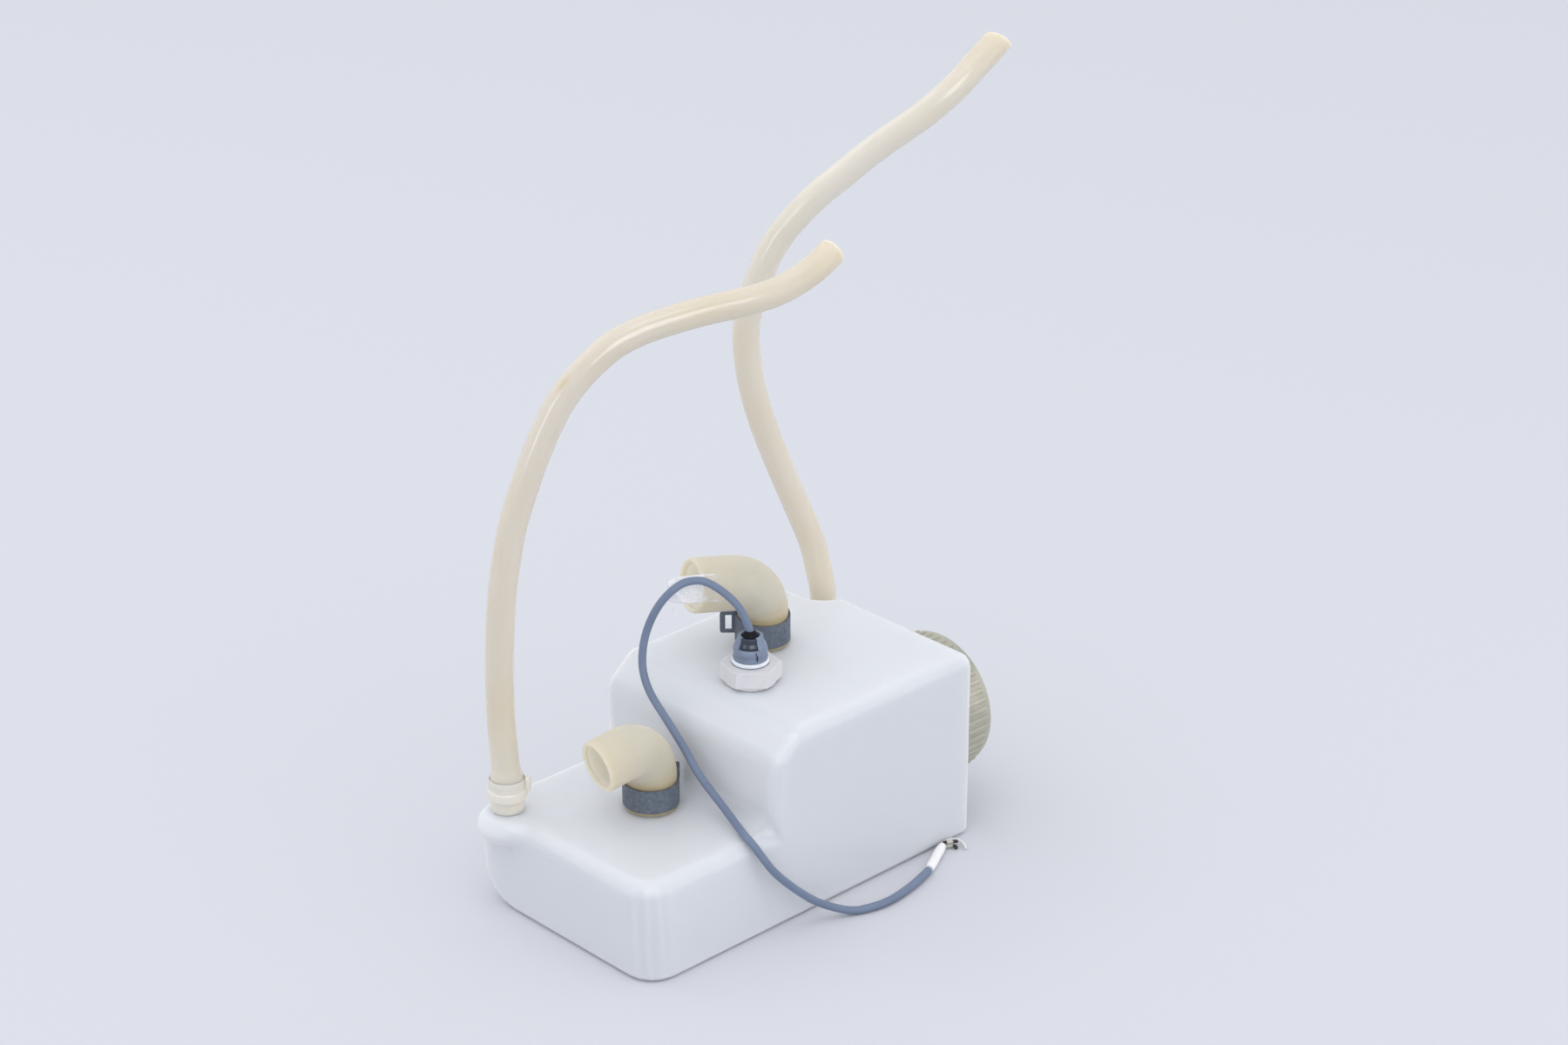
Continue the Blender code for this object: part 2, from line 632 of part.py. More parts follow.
def elbow(name, place, heading, turn, riser, leg, swell):
    """Moulded silicone elbow that stands on a spigot and points its leg along a heading."""
    grow = [swell * step / (ELBOW_STEPS - 1) for step in range(ELBOW_STEPS)]
    more = [0.0, 0.0, *grow, swell]
    outer = [ELBOW_RADIUS + extra for extra in more]
    inner = [ELBOW_BORE + extra for extra in more]
    outside = tube_mesh(name, elbow_line(riser, leg, turn, 0.0), outer, ELBOW_SIDES)
    inside = tube_mesh(name + "_bore", elbow_line(riser, leg, turn, ELBOW_WALL), inner, ELBOW_SIDES)
    piece = add_mesh(name, outside, SILICONE, place, (0, 0, heading))
    combine(piece, add_mesh(name + "_bore", inside, SILICONE, place, (0, 0, heading)), "DIFFERENCE")
    return piece


def band_clamp(name, place, heading, height, ear_height):
    """Split spring band with one windowed ear that stands out along a heading."""
    start = CLAMP_START
    band = pipe(CLAMP_RADIUS, CLAMP_RADIUS + CLAMP_STEEL, start, start + height)
    clamp = add(name, band, STEEL, place, (0, 0, heading))
    foot = start + EAR_STAND
    inner = CLAMP_RADIUS + CLAMP_STEEL / 2
    outer = CLAMP_RADIUS + CLAMP_STEEL + EAR_REACH
    half = EAR_STEEL / 2
    ear = add(name + "_ear", block((inner, -half, foot), (outer, half, foot + ear_height)), STEEL,
              place, (0, 0, heading))
    window = block((CLAMP_RADIUS + CLAMP_STEEL + EAR_FRAME / 2, -EAR_STEEL, foot + EAR_FRAME / 2),
                   (outer - EAR_FRAME, EAR_STEEL, foot + ear_height - EAR_FRAME))
    combine(ear, add(name + "_window", window, STEEL, place, (0, 0, heading)), "DIFFERENCE")
    combine(clamp, ear, "UNION")
    split = block((CLAMP_RADIUS - CLAMP_STEEL, EAR_STEEL, start - CLAMP_STEEL),
                  (CLAMP_RADIUS + 2 * CLAMP_STEEL, EAR_STEEL + CLAMP_SPLIT, start + height + CLAMP_STEEL))
    combine(clamp, add(name + "_split", split, STEEL, place, (0, 0, heading)), "DIFFERENCE")
    return clamp


def smooth_route(points):
    """Closely spaced points on a smooth curve through a route's own points."""
    knots = [Vector(point) for point in points]
    fine = []
    for index in range(len(knots) - 1):
        before = knots[max(index - 1, 0)]
        start = knots[index]
        end = knots[index + 1]
        after = knots[min(index + 2, len(knots) - 1)]
        leave = start + (end - before) / 6
        arrive = end - (after - start) / 6
        fine += interpolate_bezier(start, leave, arrive, end, FINE_STEPS)[:-1]
    fine.append(knots[-1])
    return fine


def route_length(fine):
    """Length of a closely spaced route."""
    return sum((second - first).length for first, second in zip(fine, fine[1:]))


def point_at(fine, distance):
    """Point at a distance along a closely spaced route, which runs on straight past either end."""
    first, second = fine[0], fine[1]
    if distance < 0:
        return first + (first - second).normalized() * -distance
    walked = 0.0
    for first, second in zip(fine, fine[1:]):
        step = (second - first).length
        if walked + step >= distance:
            return first.lerp(second, (distance - walked) / step)
        walked += step
    return second + (second - first).normalized() * (distance - walked)


def tube_curve(name, points, radii, sides):
    """Curve object data with filled caps along a few points, with one radius or one for each point."""
    if isinstance(radii, float):
        radii = [radii] * len(points)
    curve = bpy.data.curves.new(name, "CURVE")
    curve.dimensions = "3D"
    curve.twist_mode = "MINIMUM"
    curve.bevel_depth = 1.0
    curve.bevel_resolution = sides // 2 - 2
    curve.use_fill_caps = True
    spline = curve.splines.new("POLY")
    spline.points.add(len(points) - 1)
    for knot, point, radius in zip(spline.points, points, radii):
        knot.co = (*point, 1.0)
        knot.radius = radius
    return curve


def tube_mesh(name, points, radii, sides):
    """Closed mesh of a tube curve."""
    guide = bpy.data.objects.new(name, tube_curve(name, points, radii, sides))
    mesh = bpy.data.meshes.new_from_object(guide)
    bpy.data.objects.remove(guide)
    return mesh


def hose_line(foot, heading, route, lean):
    """Points of a hose in an upright plane, with its last points leaning back out of the plane."""
    turn = Matrix.Rotation(radians(heading), 4, "Z")
    points = []
    for index, (reach, rise) in enumerate(route):
        share = max(index + 1 + LEAN_POINTS - len(route), 0) / LEAN_POINTS
        points.append(at(*foot) @ turn @ Vector((reach, lean * share ** 2, rise + GAP)))
    return points


def hose(name, foot, heading, route, lean):
    """Silicone hose pushed over its spigot, bored right through and stretched at its foot."""
    points = hose_line(foot, heading, route, lean)
    fine = smooth_route(points)
    total = route_length(fine)
    grip = HOSE_SPIGOT_HEIGHT + GAP
    slim = grip + HOSE_TAPER
    count = round((total - slim) / (POINT_SPACING * 2 * HOSE_RADIUS))
    run = [slim + (total - slim) * index / count for index in range(count + 1)]
    places = [0.0, grip, *run]
    radii = [HOSE_FOOT_RADIUS, HOSE_FOOT_RADIUS, *[HOSE_RADIUS] * len(run)]
    outside = tube_mesh(name, [point_at(fine, place) for place in places], radii, HOSE_SIDES)
    piece = add_mesh(name, outside, SILICONE)
    wide = HOSE_SPIGOT_RADIUS + GAP
    bore_places = [-HOSE_TAPER, grip, *run[:-1], total + HOSE_TAPER]
    bore_radii = [wide, wide, *[HOSE_BORE] * len(run)]
    bore_points = [point_at(fine, place) for place in bore_places]
    inside = tube_mesh(name + "_bore", bore_points, bore_radii, HOSE_SIDES)
    combine(piece, add_mesh(name + "_bore", inside, SILICONE), "DIFFERENCE")
    return piece


def hose_clip(name, x, y, z):
    """Nylon snap clip: a beaded ring with a locking tab."""
    bore = HOSE_FOOT_RADIUS + GAP
    radius = bore + CLIP_WALL
    top = CLIP_START + CLIP_HEIGHT
    bead = CLIP_START + CLIP_BEAD_HEIGHT
    ring = turned([
        (bore, CLIP_START), (radius + CLIP_BEAD, CLIP_START), (radius + CLIP_BEAD, bead),
        (radius, bead + CLIP_BEAD), (radius, top), (bore, top),
    ])
    clip = add(name, ring, NYLON, (x, y, z), (0, 0, CLIP_HEADING))
    half = CLIP_TAB_WIDTH / 2
    tab = block((bore + CLIP_WALL / 2, -half, top - CLIP_TAB_HEIGHT), (radius + CLIP_TAB_REACH, half, top))
    combine(clip, add(name + "_tab", tab, NYLON, (x, y, z), (0, 0, CLIP_HEADING)), "UNION")
    return clip


def sensor_fastening():
    """Washer, hexagon and ring that clamp the level switch to the tank's top."""
    washer = pipe(SLEEVE_RADIUS + GAP, WASHER_RADIUS, WASHER_BASE, WASHER_BASE + WASHER_THICKNESS)
    add("sensor_washer", washer, IVORY, (SENSOR_X, SENSOR_Y, 0))
    corner = NUT_FLATS / 2 / cos(pi / 6)
    hexagon = bmesh.new()
    bmesh.ops.create_cone(hexagon, cap_ends=True, segments=6, radius1=corner, radius2=corner,
                          depth=NUT_HEIGHT)
    bmesh.ops.translate(hexagon, vec=(0, 0, NUT_BASE + NUT_HEIGHT / 2), verts=hexagon.verts)
    rims = [edge for edge in hexagon.edges if edge.verts[0].co.z == edge.verts[1].co.z]
    bmesh.ops.bevel(hexagon, geom=rims, offset=NUT_BEVEL, segments=1, profile=0.5, affect="EDGES",
                    material=-1)
    place = (SENSOR_X, SENSOR_Y, 0)
    nut = add("sensor_nut", hexagon, IVORY, place, (0, 0, NUT_HEADING))
    hole = rod(SLEEVE_RADIUS + GAP, NUT_BASE - WALL, NUT_TOP + WALL)
    combine(nut, add("nut_hole", hole, IVORY, place), "DIFFERENCE")
    ring = pipe(RING_BORE, RING_RADIUS, RING_BASE, RING_BASE + RING_HEIGHT)
    add("sensor_ring", ring, WHITE_RING, place)


def gland():
    """Cable gland with a domed shoulder, and the dark seal in its mouth."""
    place = (SENSOR_X, SENSOR_Y, 0)
    shoulder = GLAND_BASE + GLAND_SHOULDER
    core_hole = CABLE_RADIUS + GAP
    body = turned(rounded([
        (core_hole, GLAND_BASE, 0), (GLAND_RADIUS, GLAND_BASE, 0), (GLAND_RADIUS, shoulder, GLAND_ROUND),
        (GLAND_NECK_RADIUS, GLAND_TOP, GLAND_LIP), (GLAND_BORE, GLAND_TOP, 0),
        (GLAND_BORE, GLAND_BORE_FLOOR, 0), (core_hole, GLAND_BORE_FLOOR, 0),
    ]))
    add("gland_body", body, GLAND_GREY, place)
    seal = pipe(CABLE_RADIUS + GAP, GLAND_BORE - GAP, SEAL_TOP - SEAL_HEIGHT, SEAL_TOP, BORE_STEPS)
    add("gland_seal", seal, RUBBER, place)


def sensor_stem():
    """Threaded sleeve with a clamping flange inside the tank, and the float's guide tube below it."""
    place = (SENSOR_X, SENSOR_Y, 0)
    ceiling = TANK_HEIGHT - WALL - GAP
    flange = ceiling - FLANGE_THICKNESS
    groove = STEM_RADIUS - STOP_GROOVE
    low = STOP_BASE - GAP
    high = STOP_BASE + STOP_THICKNESS + GAP
    stem = turned([
        (0, STEM_FOOT), (STEM_RADIUS, STEM_FOOT), (STEM_RADIUS, low), (groove, low), (groove, high),
        (STEM_RADIUS, high), (STEM_RADIUS, flange), (FLANGE_RADIUS, flange), (FLANGE_RADIUS, ceiling),
        (SLEEVE_RADIUS, ceiling), (SLEEVE_RADIUS, NUT_TOP), (STEM_BORE, NUT_TOP),
        (STEM_BORE, STEM_FOOT + WALL + STOP_FROM_FOOT), (0, STEM_FOOT + WALL + STOP_FROM_FOOT),
    ], BORE_STEPS)
    add("sensor_stem", stem, IVORY, place)
    reed_top = flange - REED_DROP
    reed_foot = reed_top - REED_LENGTH
    half = REED_RADIUS / 2
    reed = turned([
        (0, reed_foot), (half, reed_foot), (REED_RADIUS, reed_foot + half),
        (REED_RADIUS, reed_top - half), (half, reed_top), (0, reed_top),
    ], BORE_STEPS // 2)
    add("reed_switch", reed, GLASS, place)
    inner = groove + GAP
    mouth = radians(STOP_MOUTH)
    stop = add("float_stop", pipe(inner, STOP_RADIUS, STOP_BASE, STOP_BASE + STOP_THICKNESS), STEEL, place)
    reach = 2 * STOP_RADIUS * cos(mouth / 2)
    spread = 2 * STOP_RADIUS * sin(mouth / 2)
    wedge = bmesh.new()
    corners = [(0, 0), (reach, -spread), (reach, spread)]
    base = wedge.faces.new([wedge.verts.new((x, y, STOP_BASE - WALL)) for x, y in corners])
    grown = bmesh.ops.extrude_face_region(wedge, geom=[base])["geom"]
    bmesh.ops.translate(wedge, vec=(0, 0, 2 * WALL + STOP_THICKNESS),
                        verts=[item for item in grown if isinstance(item, bmesh.types.BMVert)])
    bmesh.ops.recalc_face_normals(wedge, faces=wedge.faces)
    combine(stop, add("stop_mouth", wedge, STEEL, place), "DIFFERENCE")


def level_float():
    """Float on the stem: an annular cup, its lid and the ring magnet inside."""
    place = (SENSOR_X, SENSOR_Y, FLOAT_BASE)
    rim = FLOAT_HEIGHT - FLOAT_LID - GAP
    pocket = FLOAT_BORE + FLOAT_WALL
    shell = turned(rounded([
        (FLOAT_BORE, 0, 0), (FLOAT_RADIUS, 0, 2 * FLOAT_WALL), (FLOAT_RADIUS, rim, 0),
        (FLOAT_RADIUS - FLOAT_WALL, rim, 0), (FLOAT_RADIUS - FLOAT_WALL, FLOAT_WALL, FLOAT_WALL),
        (pocket, FLOAT_WALL, 0), (pocket, rim, 0), (FLOAT_BORE, rim, 0),
    ]), BORE_STEPS)
    add("float_shell", shell, FLOAT_PLASTIC, place)
    lid = pipe(FLOAT_BORE, FLOAT_RADIUS, FLOAT_HEIGHT - FLOAT_LID, FLOAT_HEIGHT, BORE_STEPS)
    add("float_lid", lid, FLOAT_PLASTIC, place)
    start = FLOAT_WALL + GAP
    magnet = pipe(pocket + GAP, pocket + GAP + MAGNET_WIDTH, start, start + MAGNET_HEIGHT, BORE_STEPS)
    add("float_magnet", magnet, MAGNET, place)


def cord(name, points, radius, material):
    """Solid cord along its route, with its points a fixed number of diameters apart."""
    fine = smooth_route(points)
    total = route_length(fine)
    count = max(round(total / (POINT_SPACING * 2 * radius)), 2)
    places = [total * index / count for index in range(count + 1)]
    curve = tube_curve(name, [point_at(fine, place) for place in places], radius, CORD_SIDES)
    curve.materials.append(material)
    piece = bpy.data.objects.new(name, curve)
    piece.parent = assembly
    bpy.context.collection.objects.link(piece)
    return piece


def cable():
    """Sensor cable from inside the gland to the floor, its marker sleeve and its three bare cores."""
    inside = (SENSOR_X, SENSOR_Y, GLAND_BORE_FLOOR + GAP)
    mouth = (SENSOR_X, SENSOR_Y, GLAND_TOP)
    cord("sensor_cable", [inside, mouth, *CABLE_ROUTE], CABLE_RADIUS, CABLE_GREY)
    cord("cable_sleeve", SLEEVE_ROUTE, SLEEVE_TUBE_RADIUS, WHITE_SLEEVE)
    for name, route in CORE_ROUTES.items():
        cord(name, route, CORE_RADIUS, CORES[name])


def mouth_film():
    """Scrap of clear film stuck along the upper elbow's leg and out past its mouth, with a hanging tail."""
    radius = ELBOW_RADIUS + UPPER_ELBOW_SWELL + GAP
    run, _, rise = elbow_line(UPPER_ELBOW_RISER, UPPER_ELBOW_LEG, UPPER_ELBOW_TURN, 0.0)[-1]
    heading = radians(UPPER_ELBOW_HEADING)
    mouth = (UPPER_ELBOW[0] + run * cos(heading), UPPER_ELBOW[1] + run * sin(heading), UPPER_ELBOW[2] + rise)
    turn = (0, UPPER_ELBOW_TURN - 90, UPPER_ELBOW_HEADING)
    start = radians(FILM_START)
    strip = bmesh.new()
    corners = [strip.verts.new((-FILM_GRIP, arm * sin(start), arm * cos(start)))
               for arm in (radius, radius + FILM_THICKNESS)]
    edge = strip.edges.new(corners)
    grown = bmesh.ops.extrude_edge_only(strip, edges=[edge])["geom"]
    bmesh.ops.translate(strip, vec=(FILM_GRIP + FILM_OVERHANG, 0, 0),
                        verts=[item for item in grown if isinstance(item, bmesh.types.BMVert)])
    bmesh.ops.spin(strip, geom=strip.verts[:] + strip.edges[:] + strip.faces[:], cent=(0, 0, 0),
                   axis=(-1, 0, 0), dvec=(0, 0, 0), angle=radians(FILM_SPAN), steps=FILM_STEPS,
                   use_duplicate=False)
    bmesh.ops.recalc_face_normals(strip, faces=strip.faces)
    film = add("mouth_film", strip, CLEAR, mouth, turn)
    end = start + radians(FILM_SPAN)
    side = (radius + FILM_THICKNESS / 3) * sin(end)
    low = radius * cos(end)
    tail = block((FILM_OVERHANG - FILM_TAIL_WIDTH, side, low - FILM_TAIL_LENGTH),
                 (FILM_OVERHANG - GAP, side + FILM_THICKNESS, low + FILM_THICKNESS))
    combine(film, add("film_tail", tail, CLEAR, mouth, turn), "UNION")
    return film


for leftover in list(bpy.data.objects):
    bpy.data.objects.remove(leftover, do_unlink=True)

WHITE = finish("tank_white", (0.80, 0.81, 0.83), 0.42)
CAP_PLASTIC = finish("cap_natural", (0.50, 0.52, 0.42), 0.45)
RUBBER = finish("black_rubber", (0.02, 0.02, 0.022), 0.7)
SILICONE = finish("aged_silicone", (0.68, 0.61, 0.46), 0.4)
NYLON = finish("natural_nylon", (0.70, 0.63, 0.48), 0.4)
STEEL = finish("grey_steel", (0.12, 0.14, 0.18), 0.5, 0.6)
IVORY = finish("ivory_plastic", (0.74, 0.73, 0.70), 0.45)
WHITE_RING = finish("white_thread", (0.85, 0.87, 0.90), 0.3)
GLAND_GREY = finish("gland_grey", (0.14, 0.17, 0.23), 0.5)
GLASS = finish("reed_glass", (0.75, 0.80, 0.78), 0.1)
FLOAT_PLASTIC = finish("float_plastic", (0.75, 0.75, 0.72), 0.5)
MAGNET = finish("magnet_ferrite", (0.05, 0.05, 0.055), 0.6)
CABLE_GREY = finish("cable_slate", (0.13, 0.17, 0.25), 0.45)
WHITE_SLEEVE = finish("marker_sleeve", (0.85, 0.85, 0.86), 0.5)
CLEAR = finish("clear_film", (0.90, 0.92, 0.95), 0.15, alpha=0.35)
CORES = {
    "wire_brown": finish("core_brown", (0.06, 0.02, 0.01), 0.5),
    "wire_green": finish("core_green", (0.22, 0.26, 0.14), 0.5),
    "wire_white": finish("core_white", (0.80, 0.80, 0.80), 0.5),
}

assembly = bpy.data.objects.new("assembly", None)
assembly.location = (-(FOOTPRINT_FRONT + FOOTPRINT_REAR) / 2, -FOOTPRINT_LEFT / 2, 0)
bpy.context.collection.objects.link(assembly)

tank_body()
filler_cap()
cap_gasket()
elbow("elbow_upper", UPPER_ELBOW, UPPER_ELBOW_HEADING, UPPER_ELBOW_TURN, UPPER_ELBOW_RISER,
      UPPER_ELBOW_LEG, UPPER_ELBOW_SWELL)
elbow("elbow_lower", LOWER_ELBOW, LOWER_ELBOW_HEADING, LOWER_ELBOW_TURN, LOWER_ELBOW_RISER,
      LOWER_ELBOW_LEG, LOWER_ELBOW_SWELL)
band_clamp("clamp_upper", UPPER_ELBOW, UPPER_EAR_HEADING, UPPER_CLAMP_HEIGHT, UPPER_EAR_HEIGHT)
band_clamp("clamp_lower", LOWER_ELBOW, LOWER_EAR_HEADING, LOWER_CLAMP_HEIGHT, LOWER_EAR_HEIGHT)
hose("hose_front", (FRONT_BOSS_X, BOSS_Y, FRONT_BOSS_TOP), HOSE_FRONT_HEADING, HOSE_FRONT_ROUTE,
     HOSE_FRONT_LEAN)
hose("hose_rear", (TANK_LENGTH, BOSS_Y, REAR_BOSS_TOP), HOSE_REAR_HEADING, HOSE_REAR_ROUTE,
     HOSE_REAR_LEAN)
hose_clip("hose_clip_front", FRONT_BOSS_X, BOSS_Y, FRONT_BOSS_TOP)
hose_clip("hose_clip_rear", TANK_LENGTH, BOSS_Y, REAR_BOSS_TOP)
sensor_fastening()
gland()
sensor_stem()
level_float()
cable()
mouth_film()
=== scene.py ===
"""Looks of a stepped water tank with silicone hoses, clamped elbows, a screw cap and a level switch.

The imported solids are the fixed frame. Each class below dresses one sub-assembly: it holds the sizes that its
pieces share with the solids, builds the pieces that replace them and gives them their finish. Sizes are in
metres. Routes and places are written in the tank's own frame, which has its corner at the low front right,
and ROW moves them to the frame of the solids.
"""
from __future__ import annotations

import logging
from dataclasses import dataclass, field
from enum import Enum
from math import cos, pi, radians, sin, tan
from typing import Iterable, Optional, Sequence

import bmesh
import bpy
from mathutils import Matrix, Vector, noise
from mathutils.geometry import interpolate_bezier
from mathutils.kdtree import KDTree


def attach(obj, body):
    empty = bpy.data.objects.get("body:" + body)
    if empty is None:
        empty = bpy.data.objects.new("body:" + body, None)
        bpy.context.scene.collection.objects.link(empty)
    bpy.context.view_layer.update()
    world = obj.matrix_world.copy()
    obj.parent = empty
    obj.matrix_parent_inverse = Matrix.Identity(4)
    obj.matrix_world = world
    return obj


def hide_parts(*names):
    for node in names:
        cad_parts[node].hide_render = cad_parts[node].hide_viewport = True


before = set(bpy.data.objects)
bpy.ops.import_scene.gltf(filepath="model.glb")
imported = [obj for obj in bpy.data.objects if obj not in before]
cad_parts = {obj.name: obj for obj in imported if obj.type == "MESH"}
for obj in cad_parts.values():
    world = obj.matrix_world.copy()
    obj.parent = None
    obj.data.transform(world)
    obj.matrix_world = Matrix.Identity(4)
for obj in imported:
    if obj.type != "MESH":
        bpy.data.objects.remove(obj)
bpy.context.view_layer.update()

LOG = logging.getLogger("water_tank")
ROW = Matrix.Translation((-0.1349, -0.0716, 0.0))
CLEAR = 0.0003
MERGE = 1e-6
THREAD_PITCH = 0.006
THREAD_FACETS = 96

Colour = tuple[float, float, float]
Profile = Sequence[tuple[float, float]]


class Body(Enum):
    """The bodies that a piece can ride on."""

    TANK = "tank"
    GASKET = "gasket"
    CAP = "cap"
    FLOAT = "float"


class Pattern(Enum):
    """How a finish spreads its second colour, as the octaves of its noise."""

    CLOUDS = 3.0
    GRAIN = 8.0


@dataclass(frozen=True)
class Finish:
    """One surface finish, made as a procedural material when it is first used.

    Colours are linear. Scales are in cells per metre and heights in metres.
    """

    slot: str
    tint: Colour
    shade: Colour
    pattern: Pattern = Pattern.CLOUDS
    scale: float = 30.0
    amount: float = 0.5
    rough: tuple[float, float] = (0.35, 0.5)
    grain_scale: float = 900.0
    grain_height: float = 0.00003
    wave_scale: float = 0.0
    wave_height: float = 0.0
    # Colour where the mark is above zero: real stains, and at an elbow's mouth painted shade.
    stain_and_painted_light: Optional[Colour] = None
    # Colour where the mark is below zero: painted light in bores, on a lip's inner side and on shaded stretches of
    # hose.
    pale: Optional[Colour] = None
    fleck: Optional[Colour] = None
    fleck_scale: float = 90.0
    fleck_cut: float = 0.78
    metallic: float = 0.0
    gloss: float = 0.5
    subsurface: float = 0.0
    subsurface_reach: float = 0.004
    alpha: float = 1.0
    # Stretch of a film's fold pattern, whose white is partly painted highlight.
    crease: Optional[tuple[float, float]] = None
    variant: str = ""

    @property
    def name(self) -> str:
        """Name of the finish's material."""
        return self.slot + self.variant + "_look"

    def material(self) -> bpy.types.Material:
        """Material of this finish, made once.

        Returns:
            The shared material.
        """
        found = bpy.data.materials.get(self.name)
        return found if found else Surface(self).material


class Surface:
    """Node tree of one finish, grown node by node round a Principled shader."""

    SCATTER: Colour = (1.0, 0.9, 0.75)
    NOISE_SPAN = (0.3, 0.7)
    FLECK_EDGE = 0.03
    FLECK_COVER = 0.8
    WEAR_RATIO = 2.3
    RELIEF_STRENGTH = 0.6

    def __init__(self, finish: Finish) -> None:
        """Build the whole tree.

        Args:
            finish: The finish to draw.
        """
        self.finish = finish
        self.material = bpy.data.materials.new(finish.name)
        self.material.use_nodes = True
        self.nodes = self.material.node_tree.nodes
        self.links = self.material.node_tree.links
        self.shader = self.nodes["Principled BSDF"]
        self.place = self.nodes.new("ShaderNodeTexCoord").outputs["UV" if finish.crease else "Object"]
        self._body()
        self._colour()
        self._relief()
        if finish.crease:
            self._folds_and_highlights()

    def noise(self, scale: float, detail: float = 3.0, stretch: Colour = (1.0, 1.0, 1.0)) -> bpy.types.NodeSocket:
        """Noise on the piece's own coordinates.

        Args:
            scale: Cells per metre.
            detail: Octaves.
            stretch: How each axis is scaled before the noise.

        Returns:
            The noise's value.
        """
        mapping = self.nodes.new("ShaderNodeMapping")
        mapping.inputs["Scale"].default_value = stretch
        self.links.new(self.place, mapping.inputs["Vector"])
        texture = self.nodes.new("ShaderNodeTexNoise")
        texture.inputs["Scale"].default_value = scale
        texture.inputs["Detail"].default_value = detail
        self.links.new(mapping.outputs["Vector"], texture.inputs["Vector"])
        return texture.outputs["Fac"]

    def ranged(self, value: bpy.types.NodeSocket, source: tuple[float, float],
               target: tuple[float, float]) -> bpy.types.NodeSocket:
        """Value moved from one range to another and held inside it.

        Args:
            value: Socket to read.
            source: Range that it comes in.
            target: Range that it leaves in.

        Returns:
            The moved value.
        """
        node = self.nodes.new("ShaderNodeMapRange")
        for name, number in zip(("From Min", "From Max", "To Min", "To Max"), (*source, *target)):
            node.inputs[name].default_value = number
        self.links.new(value, node.inputs["Value"])
        return node.outputs["Result"]

    def mixed(self, factor: bpy.types.NodeSocket, first: bpy.types.NodeSocket | Colour,
              second: Colour) -> bpy.types.NodeSocket:
        """Two colours mixed by a factor.

        Args:
            factor: How much of the second colour shows.
            first: Colour, or a socket that carries one.
            second: Colour laid over it.

        Returns:
            The mixed colour.
        """
        node = self.nodes.new("ShaderNodeMix")
        node.data_type = "RGBA"
        self.links.new(factor, node.inputs["Factor"])
        if isinstance(first, tuple):
            node.inputs["A"].default_value = (*first, 1.0)
        else:
            self.links.new(first, node.inputs["A"])
        node.inputs["B"].default_value = (*second, 1.0)
        return node.outputs["Result"]

    def sum_of(self, operation: str, first: bpy.types.NodeSocket,
               second: bpy.types.NodeSocket | float = 0.0) -> bpy.types.NodeSocket:
        """Result of one sum.

        Args:
            operation: Name of the math node's operation.
            first: First value.
            second: Second value, as a socket or a number.

        Returns:
            The sum's value.
        """
        node = self.nodes.new("ShaderNodeMath")
        node.operation = operation
        self.links.new(first, node.inputs[0])
        if isinstance(second, float):
            node.inputs[1].default_value = second
        else:
            self.links.new(second, node.inputs[1])
        return node.outputs["Value"]

    def _body(self) -> None:
        """Set the values that are the same all over."""
        finish = self.finish
        inputs = self.shader.inputs
        inputs["Metallic"].default_value = finish.metallic
        inputs["Specular IOR Level"].default_value = finish.gloss
        inputs["Alpha"].default_value = finish.alpha
        inputs["Subsurface Weight"].default_value = finish.subsurface
        inputs["Subsurface Radius"].default_value = self.SCATTER
        inputs["Subsurface Scale"].default_value = finish.subsurface_reach

    def _colour(self) -> None:
        """Mix the two colours, the flecks, the stains' colour where the mark is above zero, which at an elbow's mouth
        is painted shade, and the pale tint of painted light where it is below.
        """
        finish = self.finish
        cloud = self.noise(finish.scale, finish.pattern.value)
        colour = self.mixed(self.ranged(cloud, self.NOISE_SPAN, (0.0, finish.amount)), finish.tint, finish.shade)
        if finish.fleck:
            spots = self.ranged(self.noise(finish.fleck_scale, 2.0),
                                (finish.fleck_cut, finish.fleck_cut + self.FLECK_EDGE), (0.0, self.FLECK_COVER))
            colour = self.mixed(spots, colour, finish.fleck)
        if finish.stain_and_painted_light:
            mark = self.nodes.new("ShaderNodeAttribute")
            mark.attribute_name = "stain_and_painted_light"
            colour = self.mixed(self.ranged(mark.outputs["Fac"], (0.0, 1.0), (0.0, 1.0)), colour, finish.stain_and_painted_light)
            # Painted light: the pale tint where the mark is below zero.
            if finish.pale:
                colour = self.mixed(self.ranged(mark.outputs["Fac"], (-1.0, 0.0), (1.0, 0.0)), colour, finish.pale)
        self.links.new(colour, self.shader.inputs["Base Color"])
        worn = self.noise(finish.scale * self.WEAR_RATIO, 4.0)
        self.links.new(self.ranged(worn, self.NOISE_SPAN, finish.rough), self.shader.inputs["Roughness"])

    def _relief(self) -> None:
        """Lay a fine grain, and a slow wave where the finish has one, over the normal."""
        finish = self.finish
        layers = [(finish.grain_scale, finish.grain_height)]
        if finish.wave_scale:
            layers.append((finish.wave_scale, finish.wave_height))
        normal = None
        for scale, height in layers:
            bump = self.nodes.new("ShaderNodeBump")
            bump.inputs["Strength"].default_value = self.RELIEF_STRENGTH
            bump.inputs["Distance"].default_value = height
            self.links.new(self.noise(scale, 2.0), bump.inputs["Height"])
            if normal:
                self.links.new(normal, bump.inputs["Normal"])
            normal = bump.outputs["Normal"]
        self.links.new(normal, self.shader.inputs["Normal"])

